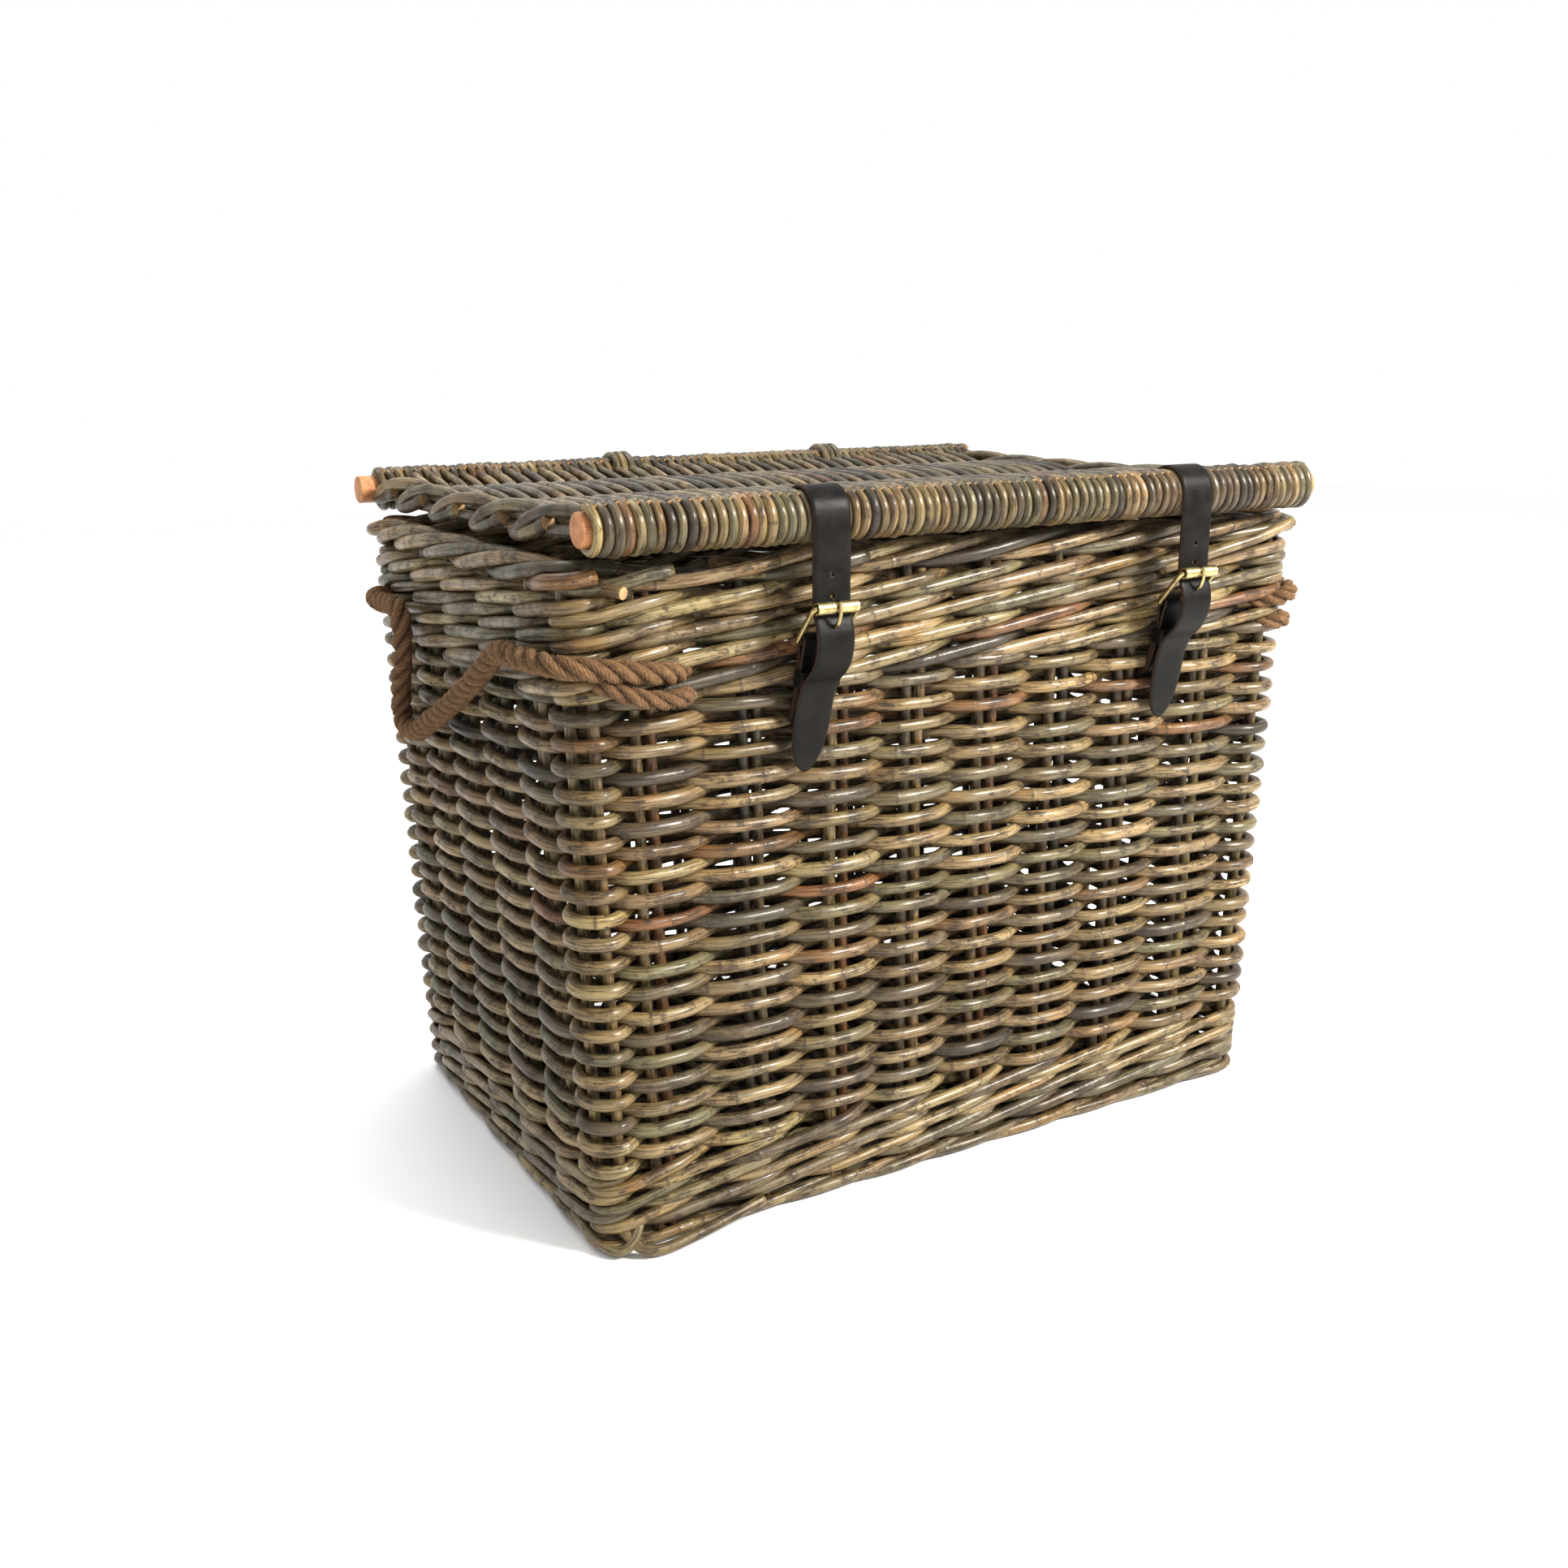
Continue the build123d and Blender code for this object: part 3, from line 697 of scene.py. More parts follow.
def on_lid(y):
    """Height of the lid's middle surface, level past its poles."""
    return sag(np.clip(y, -POLE_Y, POLE_Y))


def weave_lid():
    """Pairs of rods from pole to pole, woven over and under the two pairs of ribs."""
    bundle = Rods(9)
    count = int((2 * PANEL_X - 0.012) / LID_PITCH)
    first = -count * LID_PITCH / 2
    for k in range(count + 1):
        for strand in (0, 1):
            y = np.linspace(-POLE_Y + 0.004, POLE_Y - 0.004, 128)
            ribs_passed = np.interp(y, [-POLE_Y, -RIB_Y, RIB_Y, POLE_Y], [-1, 0, 1, 2])
            phase = math.pi * ribs_passed + math.pi * strand
            lift = 0.0098 * np.sin(math.pi / 2 * np.cos(phase))
            x = first + LID_PITCH * k + 0.0041 * np.sin(phase) + drift(y, 0.3, 0.0007)
            near_pole = np.clip((np.abs(y) - (POLE_Y - 0.030)) / 0.026, 0, 1)
            line = np.stack([x, y, sag(y) + lift * (1 + 0.25 * near_pole)], axis=1)
            bundle.add(line, LID_ROD * rng.uniform(0.93, 1.08), pick_tint("lid"), knuckle=0.16)
    bundle.make("lid_woven_rods", RATTAN, CUT_END, "lid", "rattan", ["lid_panel"])
    ribs = Rods(10)
    for y in (-RIB_Y, RIB_Y):
        for shift in (-STAKE_GAP / 2, STAKE_GAP / 2):
            x = np.linspace(-PANEL_X, PANEL_X, 130)
            line = np.stack([x, y + shift + drift(x, 0.4, 0.0006), sag(y + shift) + 0 * x], axis=1)
            ribs.add(line, 0.0052, pick_tint("ribs"))
    ribs.make("lid_rib_rods", RATTAN, CUT_END, "lid", "rattan", ["lid_ribs"])


def wind_pole(side, y0, pitch, rod, slant):
    """Turn upon turn of cane, tight round a pole."""
    low, high = WRAP_LOW[0] - 0.010, WRAP_HIGH[0]
    bundle = Rods(9)
    count = int((high - low - 2 * rod) / pitch)
    core = POLE_R + rod
    tint = pick_tint()
    for k in range(count + 1):
        if rng.uniform() < 0.75:
            tint = pick_tint("pole")
        thick = rod * rng.uniform(0.90, 1.08)
        turn = np.linspace(-0.15, 2 * math.pi + 0.15, 44)
        reach = core + rng.uniform(-0.0003, 0.0008) + drift(turn, 4.0, 0.0004)
        lead = pitch * (turn / (2 * math.pi) - 0.5) * 0.5
        x = low + rod + pitch * k + slant * np.sin(turn - 0.6) + lead + drift(turn, 5.0, 0.0007)
        line = np.stack([x, y0 + np.cos(turn + 1.9) * reach, POLE_Z + np.sin(turn + 1.9) * reach], axis=1)
        bundle.add(line, thick, tint * rng.uniform(0.88, 1.08), knuckle=0.16, oval=1.05)
    bundle.make(f"wound_cane_{side}", RATTAN, CUT_END, "lid", "rattan", [f"lid_wrap_{side}"])


def plait_right():
    """The right end border of the lid: long rods that roll slowly round each other."""
    bundle = Rods(10)
    x_middle = (PANEL_X + BRAID_X) / 2
    reach = POLE_Y + 0.010
    cycle = 0.28
    rods = 4
    for strand in range(rods):
        start = -reach
        while start < reach - 0.02:
            stop = min(start + cycle * rng.uniform(0.9, 1.5), reach)
            y = np.linspace(start - 0.02 if start > -reach else start, min(stop + 0.02, reach), 80)
            phase = 2 * math.pi * (y / cycle + strand / rods)
            x = x_middle + 0.0085 * np.cos(phase) + drift(y, 0.2, 0.0008)
            line = np.stack([x, y, on_lid(y) + 0.0110 * np.sin(phase)], axis=1)
            bundle.add(line, 0.0054 * rng.uniform(0.93, 1.07), pick_tint("right_plait"))
            start = stop
    bundle.make("plaited_edge_right", RATTAN, CUT_END, "lid", "rattan", ["lid_braid_right"])


def plait_left(knobs):
    """The left end border: rods that arch over from outside, and thick ends that stop under them.
    knobs are where the thick ends stop."""
    bundle = Rods(12)
    x_out = -BRAID_X - 0.001
    x_in = -PANEL_X + 0.004
    # part of the way along, x, and height over the lid's middle surface
    arch = [(0.0, x_out + 0.006, -0.0090), (0.05, x_out - 0.001, -0.0060), (0.20, x_out + 0.003, 0.0060),
            (0.42, x_out + 0.010, 0.0120), (0.66, x_in - 0.009, 0.0110), (0.88, x_in - 0.003, 0.0040),
            (1.0, x_in, -0.0060)]
    # distance behind the knob, x, and height over the lid's middle surface
    stem = [(0.080, x_out + 0.010, -0.0080), (0.055, x_out + 0.001, -0.0090),
            (0.025, x_out + 0.001, -0.0070), (0.0, x_out + 0.007, 0.0015)]
    for y in knobs:
        over = 0.150 + 0.015 * rng.uniform(-1, 1)
        first = min(y + 0.055, POLE_Y - 0.004)
        last = max(first - over, -POLE_Y - 0.006)
        places = [(x, first + (last - first) * part, lift) for part, x, lift in arch]
        line = smooth_line("arch", [(x, spot, float(on_lid(spot)) + lift) for x, spot, lift in places])
        line = soften(resample(line, 0.004), 3)
        bundle.add(line, 0.0056 * rng.uniform(0.95, 1.05), pick_tint("arches"), knuckle=0.15)
        places = [(x, min(y + back, POLE_Y), lift) for back, x, lift in stem]
        line = smooth_line("stem", [(x, spot, float(on_lid(spot)) + lift) for x, spot, lift in places])
        line = resample(line, 0.003)
        bundle.add(line, 0.0054, pick_tint("stems"), knuckle=0)
        onward = unit(line[-1] - line[-3])
        knob = np.stack([line[-1] - 0.010 * onward, line[-1] + 0.001 * onward])
        bundle.add(resample(knob, 0.002), 0.0066, pick_tint("knobs"), knuckle=0)
    for x, lift in ((x_out + 0.010, -0.0040), (x_in - 0.003, -0.0020), (x_in - 0.011, 0.0035)):
        y = np.linspace(-POLE_Y, POLE_Y, 90)
        line = np.stack([x + drift(y, 0.25, 0.0020), y, sag(y) + lift + drift(y, 0.25, 0.0012)], axis=1)
        bundle.add(line, 0.0048, pick_tint("edge"))
    bundle.make("plaited_edge_left", RATTAN, CUT_END, "lid", "rattan", ["lid_braid_left"])


def bind_hinges():
    """Three turns of split cane each, round the back pole and down through the wall."""
    loop_r = 0.0242
    pitch = 0.0078
    turn = np.linspace(math.radians(-128), math.radians(188), 60)
    for side in ("left", "right"):
        node = f"hinge_loop_{side}"
        low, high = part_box(node)
        x_middle = (low[0] + high[0]) / 2
        bundle = Rods(10)
        for k in range(3):
            x0 = x_middle - pitch + pitch * k
            ring = np.stack([x0 + 0.002 * np.sin(turn), POLE_Y + loop_r * np.cos(turn),
                             POLE_Z + loop_r * np.sin(turn)], axis=1)
            inside = np.linspace(ring[-1], (x0, POLE_Y - 0.021, 0.560), 8)[1:]
            outside = np.linspace((x0, POLE_Y - 0.011, 0.535), ring[0], 10)[:-1]
            line = soften(resample(np.concatenate([outside, ring, inside]), 0.003), 4)
            bundle.add(line, 0.0037, pick_tint("bindings"), knuckle=0.09)
        bundle.make(f"hinge_binding_{side}", RATTAN, CUT_END, "basket", "rattan", [node])


# ------------------------------------------------------------------- leather
STRAP_W = 0.0335
STRAP_T = 0.003
STRAP_TIP = 0.044                     # length of the strap's rounded point
STRAP_REACH = 0.0224                  # the strap's middle line to the pole's axis
HOLE_R = 0.0019
HOLES_YZ = ((-0.283, 0.559), (-0.283, 0.542))
ANCHOR_T = 0.0064                     # both leaves of the anchor strap
KEEPER_T = 0.0016
HEEL_YZ = np.array((-0.264, 0.505))   # the buckle's lower bar
ANCHOR_YZ = np.array((-0.2497, 0.421))
LEAN = (HEEL_YZ - ANCHOR_YZ) / np.linalg.norm(HEEL_YZ - ANCHOR_YZ)
PROUD = np.array((-LEAN[1], LEAN[0]))
TAIL = ANCHOR_T / 2 + 0.0004 + STRAP_T / 2
LEAN_FROM_Z = 0.484                   # between these heights the strap's tail leans aside
LEAN_TO_Z = 0.398
TAIL_LEAN = {"left": -0.007, "right": -0.003}


def smooth_line(name, points):
    """The line of a NURBS curve through the country of these points."""
    curve = bpy.data.curves.new(name, "CURVE")
    curve.dimensions = "3D"
    spline = curve.splines.new("NURBS")
    spline.points.add(len(points) - 1)
    for spot, point in zip(spline.points, points):
        spot.co = (*point, 1.0)
    spline.order_u = 3
    spline.use_endpoint_u = True
    spline.resolution_u = 24
    holder = bpy.data.objects.new(name, curve)
    bpy.context.scene.collection.objects.link(holder)
    bpy.context.view_layer.update()
    graph = bpy.context.evaluated_depsgraph_get()
    mesh = bpy.data.meshes.new_from_object(holder.evaluated_get(graph))
    line = np.array([v.co[:] for v in mesh.vertices])
    bpy.data.objects.remove(holder)
    bpy.data.curves.remove(curve)
    bpy.data.meshes.remove(mesh)
    return line


def leather_strip(name, line, width_at, thick, body, nodes, lean=0.0):
    """A strip of leather with rounded edges. line runs along its middle in a plane square to X,
    and lean is how far aside its lowest end hangs."""
    line = resample(line, 0.0020)
    along = distances(line)
    tangent = unit(np.gradient(line, axis=0))
    outward = np.stack([np.zeros(len(line)), tangent[:, 2], -tangent[:, 1]], axis=1)
    half = thick / 2
    bevel = 0.0008
    shoulder = (bevel * 0.75, half * 0.72)
    # across in half widths, further out, height, and how raw the edge is
    profile = [(t, 0.0, half * (1 + 0.05 * (1 - t * t)), 0.0) for t in np.linspace(-1, 1, 13)]
    profile += [(1, shoulder[0], shoulder[1], 1.0), (1, bevel, 0.0, 1.0), (1, shoulder[0], -shoulder[1], 1.0)]
    profile += [(t, 0.0, -half, 0.35) for t in np.linspace(1, -1, 13)]
    profile += [(-1, -shoulder[0], -shoulder[1], 1.0), (-1, -bevel, 0.0, 1.0),
                (-1, -shoulder[0], shoulder[1], 1.0)]
    profile = np.array(profile)
    half_width = np.array([width_at(along[-1] - d) for d in along]) / 2 - bevel
    aside = lean * np.clip((LEAN_FROM_Z - line[:, 2]) / (LEAN_FROM_Z - LEAN_TO_Z), 0, 1)
    points = line[:, None, :] + outward[:, None, :] * profile[None, :, 2, None]
    across = profile[None, :, 0] * half_width[:, None]
    points[:, :, 0] = (line[:, 0] + aside)[:, None] + across + profile[None, :, 1]
    n, rows = len(profile), len(line)
    raw = np.tile(profile[:, 3], rows)
    faces = tube_faces(0, rows, n).tolist()
    faces += [list(range(n - 1, -1, -1)), list(range(n * (rows - 1), n * rows))]
    colours = np.zeros((n * rows, 3))
    mesh = smooth_mesh(name, points.reshape(-1, 3).tolist(), faces, colours, raw, LEATHER)
    return put(name, mesh, body, nodes)


def punch(piece, spots, radius):
    """Cuts round holes through a strip, from front to back."""
    for number, spot in enumerate(spots):
        bpy.ops.mesh.primitive_cylinder_add(vertices=20, radius=radius, depth=0.014, location=spot,
                                            rotation=(math.pi / 2, 0, 0))
        cutter = bpy.context.object
        cut = piece.modifiers.new(f"hole_{number}", "BOOLEAN")
        cut.operation = "DIFFERENCE"
        cut.solver = "EXACT"
        cut.object = cutter
        bpy.context.view_layer.update()
        graph = bpy.context.evaluated_depsgraph_get()
        done = bpy.data.meshes.new_from_object(piece.evaluated_get(graph))
        piece.modifiers.clear()
        piece.data = done
        bpy.data.objects.remove(cutter)


def on_anchor(along, proud):
    """A place along the anchor strap, and a distance proud of it, as Y and Z."""
    return tuple(ANCHOR_YZ + LEAN * along + PROUD * proud)


def ogive(from_tip):
    """The strap's width near its pointed tip."""
    if from_tip >= STRAP_TIP:
        return STRAP_W
    return max(STRAP_W * math.sqrt(max(1 - (1 - from_tip / STRAP_TIP) ** 2.0, 0.0)), 0.004)


def round_pole(reach, degrees):
    angle = math.radians(degrees)
    return (-POLE_Y + reach * math.cos(angle), POLE_Z + reach * math.sin(angle))


def strap_line(x):
    """Over the wound pole, down behind the roller, and proud over the buckle's heel to the tip."""
    corner = STRAP_REACH / math.cos(math.pi / 8)
    points = [round_pole(STRAP_REACH, 42)]
    points += [round_pole(corner, degrees) for degrees in (67.5, 112.5, 157.5)]
    points += [(-0.2838, 0.580), (-0.2830, 0.550), (-0.2829, 0.530), (-0.2875, 0.520), (-0.2900, 0.509),
               (-0.2870, 0.494), (-0.2790, 0.482), on_anchor(0.050, TAIL), on_anchor(0.010, TAIL),
               on_anchor(-0.023, TAIL)]
    return smooth_line("strap_route", [(x, y, z) for y, z in points])


def anchor_line(x):
    """Out of the weave, up, round the buckle's lower bar and back down as a second leaf."""
    leaf = ANCHOR_T / 4
    top = 0.0852
    points = [(-0.216, 0.4240), (-0.2455, 0.4380), on_anchor(0.036, -0.0020), on_anchor(0.066, leaf),
              on_anchor(top - 0.005, leaf + 0.0012), on_anchor(top - 0.001, 0.0046),
              on_anchor(top + 0.0054, 0.0040), on_anchor(top + 0.0054, -0.0040),
              on_anchor(top - 0.001, -0.0046), on_anchor(top - 0.005, -leaf - 0.0012),
              on_anchor(0.066, -leaf), on_anchor(0.036, -0.0052), (-0.2435, 0.4400), (-0.216, 0.4275)]
    return smooth_line("anchor_route", [(x, y, z) for y, z in points])


def keeper_ring(wide, deep, corner=0.0026):
    """A rounded rectangle of points, evenly spaced, and the way out at each."""
    ring = []
    for k, (sx, sn) in enumerate(((1, 1), (-1, 1), (-1, -1), (1, -1))):
        for angle in np.radians(np.linspace(90 * k, 90 * k + 90, 6)):
            ring.append((sx * (wide - corner) + corner * math.cos(angle),
                         sn * (deep - corner) + corner * math.sin(angle)))
    ring = np.array(ring + [ring[0]])
    ring = resample(np.column_stack([ring, np.zeros(len(ring))]), 0.0016)[:-1, :2]
    onward, back = np.roll(ring, -1, axis=0), np.roll(ring, 1, axis=0)
    outward = unit(np.stack([onward[:, 1] - back[:, 1], back[:, 0] - onward[:, 0]], axis=1))
    return ring, outward


def keeper_piece(side, x):
    """A narrow band of leather right round the strap and its anchor."""
    wide = STRAP_W / 2 + 0.0004 + KEEPER_T / 2
    deep = (ANCHOR_T + 0.0012 + STRAP_T) / 2 + KEEPER_T / 2
    centre = np.array(on_anchor(0.055, (TAIL + STRAP_T / 2 - ANCHOR_T / 2) / 2 + 0.0002))
    ring, outward = keeper_ring(wide, deep)
    half_h, half_t, edge = 0.0070, KEEPER_T / 2, 0.0006
    # distance out, height along the strap, and how raw the edge is
    profile = [(half_t, -half_h + edge, 0), (half_t * 1.05, 0, 0), (half_t, half_h - edge, 0),
               (half_t - edge, half_h, 1), (-half_t + edge, half_h, 1), (-half_t, half_h - edge, 0.3),
               (-half_t, -half_h + edge, 0.3), (-half_t + edge, -half_h, 1), (half_t - edge, -half_h, 1)]
    points, raw = [], []
    for spot, normal in zip(ring, outward):
        for out, up, edge_mark in profile:
            across = spot + normal * out
            yz = centre + PROUD * across[1] + LEAN * up
            points.append((x + across[0], yz[0], yz[1]))
            raw.append(edge_mark)
    n, rows = len(profile), len(ring)
    faces = []
    for r in range(rows):
        here, there = r * n, (r + 1) % rows * n
        for c in range(n):
            after = (c + 1) % n
            faces.append((here + c, here + after, there + after, there + c))
    colours = np.zeros((len(points), 3))
    mesh = smooth_mesh("keeper", points, faces, colours, np.array(raw, float), LEATHER)
    put(f"strap_keeper_{side}", mesh, "basket", [f"keeper_{side}"])


def fit_straps():
    for side in ("left", "right"):
        node = f"strap_{side}"
        x = middle(node).x
        strap = leather_strip(f"leather_strap_{side}", strap_line(x), ogive, STRAP_T, node, [node],
                              TAIL_LEAN[side])
        punch(strap, [(x, y, z) for y, z in HOLES_YZ], HOLE_R)
        leather_strip(f"anchor_leather_{side}", anchor_line(x), lambda d: STRAP_W, ANCHOR_T / 2 - 0.0002,
                      "basket", [f"anchor_strap_{side}"])
        keeper_piece(side, x)


# --------------------------------------------------------------------- ropes
ROPE_D = 0.019
ROPE_LAY = 0.050                      # length in which a strand goes once round
STRANDS = 3
YARNS = 5                             # yarns seen on each strand
STRAND_SIDES = 22
HAIRS_PER_M = 5200
HAIR_R = 0.00016
STRAND_TINT = np.array((0.34, 0.195, 0.090))
HAIR_TINT = np.array((0.42, 0.25, 0.12))


class Rope:
    """Gathers the strands and stray hairs of one rope."""

    def __init__(self, line, thick):
        self.line = line
        self.thick = thick
        self.along = distances(line)
        self.tangent, self.side, self.across = frames_along(line)
        self.vertices, self.faces, self.grain, self.tints = [], [], [], []
        self.start = 0

    def lay_strand(self, strand):
        n, rows = STRAND_SIDES, len(self.line)
        strand_r = 0.262 * self.thick
        offset = self.thick / 2 - strand_r
        spin = 2 * math.pi * (self.along / ROPE_LAY + strand / STRANDS)
        way = np.cos(spin)[:, None] * self.side + np.sin(spin)[:, None] * self.across
        centre = self.line + offset * way
        angle = np.linspace(0, 2 * math.pi, n, endpoint=False)
        twist = angle[None, :] + spin[:, None]
        yarn = np.cos(YARNS * (angle[None, :] - 2.2 * spin[:, None]))
        swell = strand_r * (1 + 0.07 * yarn + 0.05 * rng.normal(size=yarn.shape))
        ring = np.cos(twist)[..., None] * self.side[:, None, :]
        ring = ring + np.sin(twist)[..., None] * self.across[:, None, :]
        points = centre[:, None, :] + ring * swell[..., None]
        self.vertices.append(points.reshape(-1, 3))
        place = np.empty(points.shape)
        place[..., 0] = np.cos(angle)[None, :] * strand_r
        place[..., 1] = self.along[:, None] + 0.004 * np.sin(angle)[None, :]
        place[..., 2] = np.sin(angle)[None, :] * strand_r + strand
        self.grain.append(place.reshape(-1, 3))
        # Painted shade: the tone darkens the grooves between the yarns and, much more, the side of each
        # strand that faces the other strands, down in the rope's grooves. The random factor is the coir's own
        # uneven colour.
        facing_out = np.cos(twist - spin[:, None])
        tone = (0.74 + 0.26 * yarn) * (0.62 + 0.38 * np.clip(1.4 * facing_out, -1, 1)) * rng.uniform(0.9, 1.1)
        tone = tone * rng.uniform(0.75, 1.25, size=tone.shape)
        self.tints.append((tone[..., None] * STRAND_TINT).reshape(-1, 3))
        turn = np.arange(n)
        self.faces += tube_faces(self.start, rows, n).tolist()
        self.faces += [(self.start + turn[::-1]).tolist(), (self.start + n * (rows - 1) + turn).tolist()]
        self.start += n * rows

    def add_hair(self):
        """A thin spike that leaves the rope's surface in a random direction."""
        k = int(rng.integers(3, len(self.line) - 3))
        angle = rng.uniform(0, 2 * math.pi)
        normal = math.cos(angle) * self.side[k] + math.sin(angle) * self.across[k]
        round_it = np.cross(self.tangent[k], normal)
        base = self.line[k] + normal * (self.thick / 2 - 0.0015)
        out, onward, sideways = rng.uniform(0.2, 1.0), rng.uniform(-1, 1), rng.uniform(-1, 1)
        lean = unit(normal * out + self.tangent[k] * onward + round_it * sideways)
        tip = base + lean * rng.uniform(0.0018, 0.0050) + normal * 0.0006
        thin = unit(np.cross(lean, normal) + 1e-6) * HAIR_R
        flat = unit(np.cross(lean, thin)) * HAIR_R
        foot = [base + thin, base - thin * 0.5 + flat, base - thin * 0.5 - flat]
        self.vertices.append(np.array(foot + [tip]))
        self.grain.append(np.tile(self.along[k], (4, 3)))
        self.tints.append(np.tile(HAIR_TINT * rng.uniform(0.6, 1.25), (4, 1)))
        a, b, c, d = range(self.start, self.start + 4)
        self.faces += [(a, b, d), (b, c, d), (c, a, d), (a, c, b)]
        self.start += 4


def laid_rope(name, points, body, nodes, thick=ROPE_D):
    """Three strands laid round each other along a route's own smooth line, with a few stray hairs."""
    line = resample(smooth_line(name, points), 0.0016)
    rope = Rope(line, thick)
    for strand in range(STRANDS):
        rope.lay_strand(strand)
    length = float(rope.along[-1])
    for _ in range(int(length * HAIRS_PER_M)):
        rope.add_hair()
    vertices = np.concatenate(rope.vertices)
    colours = np.concatenate(rope.tints)
    mesh = smooth_mesh(name, vertices.tolist(), rope.faces, colours, np.zeros(len(vertices)), COIR)
    write_grain(mesh, rope.grain)
    piece = put(name, mesh, body, nodes)
    return piece


ROPE_X = 0.392
ROPE_Z = 0.504
GRIP = [(-ROPE_X, 0.166, ROPE_Z), (-ROPE_X, 0.133, ROPE_Z + 0.001), (-ROPE_X - 0.001, 0.098, 0.507),
        (-ROPE_X - 0.001, 0.098, 0.470), (-ROPE_X, 0.117, 0.436), (-ROPE_X, 0.124, 0.396),
        (-ROPE_X + 0.001, 0.086, 0.391), (-ROPE_X, 0.030, 0.413), (-ROPE_X + 0.001, -0.040, 0.444),
        (-ROPE_X, -0.112, 0.478), (-ROPE_X + 0.001, -0.158, ROPE_Z + 0.002), (-ROPE_X, -0.186, ROPE_Z)]
BACK_TIE = [(-ROPE_X, 0.1675, ROPE_Z), (-ROPE_X, 0.194, ROPE_Z + 0.001), (-0.371, 0.205, ROPE_Z + 0.001),
            (-0.352, 0.203, ROPE_Z)]
LEFT_FRONT = [(-ROPE_X, -0.1875, ROPE_Z), (-ROPE_X + 0.001, -0.222, ROPE_Z + 0.001),
              (-0.378, -0.256, ROPE_Z - 0.001), (-0.338, -0.261, 0.497), (-0.290, -0.2595, 0.490),
              (-0.272, -0.232, 0.488)]
LEFT_EYE = [(-0.352, -0.252, 0.489), (-0.330, -0.2635, 0.478), (-0.306, -0.263, 0.472),
            (-0.282, -0.259, 0.471), (-0.270, -0.236, 0.470)]
RIGHT_FRONT = [(ROPE_X, -0.1875, ROPE_Z), (ROPE_X - 0.006, -0.210, ROPE_Z - 0.001), (0.3785, -0.242, 0.500),
               (0.352, -0.2515, 0.494), (0.330, -0.232, 0.491)]
RIGHT_EYE = [(0.358, -0.190, 0.471), (0.379, -0.200, 0.472), (0.3755, -0.240, 0.473),
             (0.346, -0.2515, 0.472), (0.328, -0.232, 0.468)]


def mirrored(points):
    return [(-x, y, z) for x, y, z in points]


def tie_ropes():
    """The two handles, and their ends, which are pulled thinner where they are tied in."""
    laid_rope("rope_handle_left", GRIP, "handle_left", ["handle_left"])
    laid_rope("rope_handle_right", mirrored(GRIP), "handle_right", ["handle_right"])
    laid_rope("rope_tie_left_back", BACK_TIE, "basket", ["rope_left_back"])
    laid_rope("rope_tie_right_back", mirrored(BACK_TIE), "basket", ["rope_right_back"])
    laid_rope("rope_tie_left_front", LEFT_FRONT, "basket", ["rope_left_front"], 0.0180)
    laid_rope("rope_eye_left", LEFT_EYE, "basket", ["rope_left_eye"], 0.0150)
    laid_rope("rope_tie_right_front", RIGHT_FRONT, "basket", ["rope_right_front"], 0.0165)
    laid_rope("rope_eye_right", RIGHT_EYE, "basket", ["rope_right_eye"], 0.0150)


# ------------------------------------------------------- finish of CAD pieces
def dress(node, material):
    """Gives a CAD piece that stays in sight its finish."""
    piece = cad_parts[node]
    piece.data.materials.clear()
    piece.data.materials.append(material)


def dress_cad_pieces():
    for name in ("front", "back"):
        dress(f"lid_pole_{name}", POLE)
    for side in ("left", "right"):
        for part in ("buckle_frame", "roller", "prong"):
            dress(f"{part}_{side}", BRASS)


# ------------------------------------------------------------ camera and room
CAMERA_FROM = Vector((-0.7959, -1.3086, 0.7083))
SENSOR_MM = 36.0
LENS_MM = 36.06
AZIMUTH = math.radians(-29.69)
ELEVATION = math.radians(14.68)
ROLL = math.radians(-0.76)


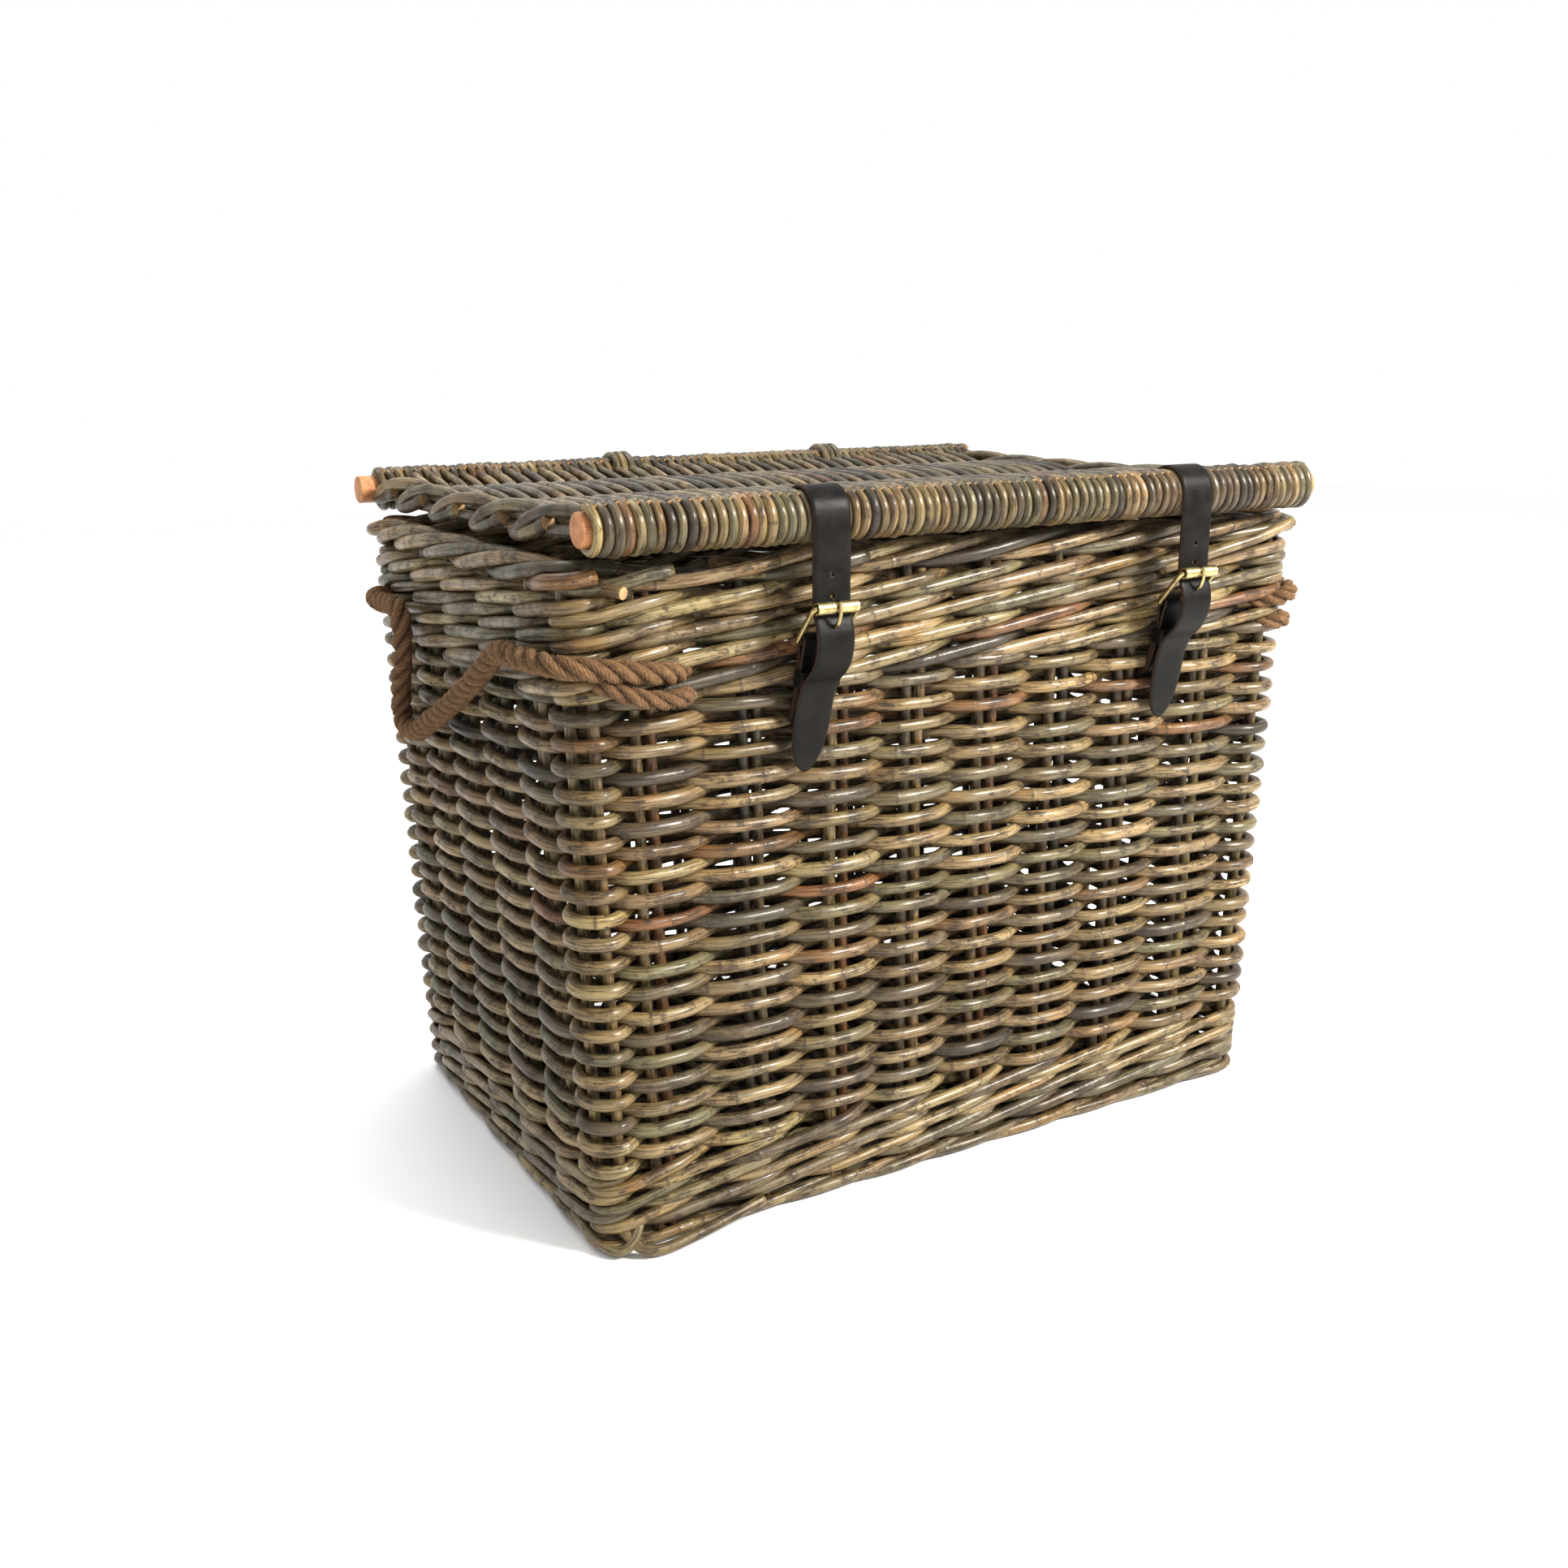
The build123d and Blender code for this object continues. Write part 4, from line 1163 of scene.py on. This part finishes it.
def set_camera():
    data = bpy.data.cameras.new("camera")
    data.sensor_width = SENSOR_MM
    data.lens = LENS_MM
    camera = bpy.data.objects.new("camera", data)
    bpy.context.scene.collection.objects.link(camera)
    back = Vector((math.sin(AZIMUTH) * math.cos(ELEVATION), -math.cos(AZIMUTH) * math.cos(ELEVATION),
                   math.sin(ELEVATION)))
    right = Vector((0, 0, 1)).cross(back).normalized()
    up = back.cross(right)
    rolled_right = right * math.cos(ROLL) + up * math.sin(ROLL)
    rolled_up = up * math.cos(ROLL) - right * math.sin(ROLL)
    turn = Matrix((rolled_right, rolled_up, back)).transposed().to_4x4()
    camera.matrix_world = Matrix.Translation(CAMERA_FROM) @ turn
    bpy.context.scene.camera = camera


def area_light(name, place, aim, width, power, colour=(1, 1, 1)):
    data = bpy.data.lights.new(name, "AREA")
    data.shape = "DISK"
    data.size = width
    data.energy = power
    data.color = colour
    lamp = bpy.data.objects.new(name, data)
    bpy.context.scene.collection.objects.link(lamp)
    lamp.location = place
    lamp.rotation_euler = (Vector(aim) - Vector(place)).to_track_quat("-Z", "Y").to_euler()


def light_room():
    world = bpy.data.worlds.new("studio")
    bpy.context.scene.world = world
    world.use_nodes = True
    background = world.node_tree.nodes["Background"]
    background.inputs["Color"].default_value = (1.0, 1.0, 1.0, 1.0)
    background.inputs["Strength"].default_value = 1.0
    view = bpy.context.scene.view_settings
    view.view_transform = "Standard"
    view.gamma = 0.88
    area_light("key", (1.5, -2.3, 2.1), (0.05, 0, 0.3), 0.9, 200.0, (1.0, 0.97, 0.91))
    area_light("top", (-0.3, 0.9, 2.9), (0, 0, 0.3), 1.6, 40.0)


def lay_floor():
    bpy.ops.mesh.primitive_plane_add(size=14.0)
    floor = bpy.context.object
    floor.name = "floor"
    s = Shader("pale_floor", Roughness=0.9)
    tone = s.noise(s.object_place(), 3.0, 2.0)
    s.link(s.mix(tone, (0.95, 0.95, 0.955), (0.96, 0.96, 0.965)), "Base Color")
    floor.data.materials.append(s.material)


set_camera()
light_room()
lay_floor()
tie_ropes()
stand_stakes()
weave_walls()
weave_wales()
roll_border("rim_border_rods", "rim_border", z=BORDER_Z + 0.0120,
            out_middle=0.001, out_swing=0.0135, up_swing=0.0080, radius=0.0057)
roll_border("foot_border_rods", "foot_border", z=0.0086,
            out_middle=0.000, out_swing=0.0095, up_swing=0.0028, radius=0.0046)
leave_ends()
weave_base()
weave_lid()
wind_pole("front", -POLE_Y, pitch=0.0083, rod=0.0039, slant=0.0006)
wind_pole("back", POLE_Y, pitch=0.0093, rod=0.0041, slant=0.0020)
plait_left(knobs=(0.212, 0.125, 0.025, -0.085, -0.183))
plait_right()
bind_hinges()
fit_straps()
dress_cad_pieces()
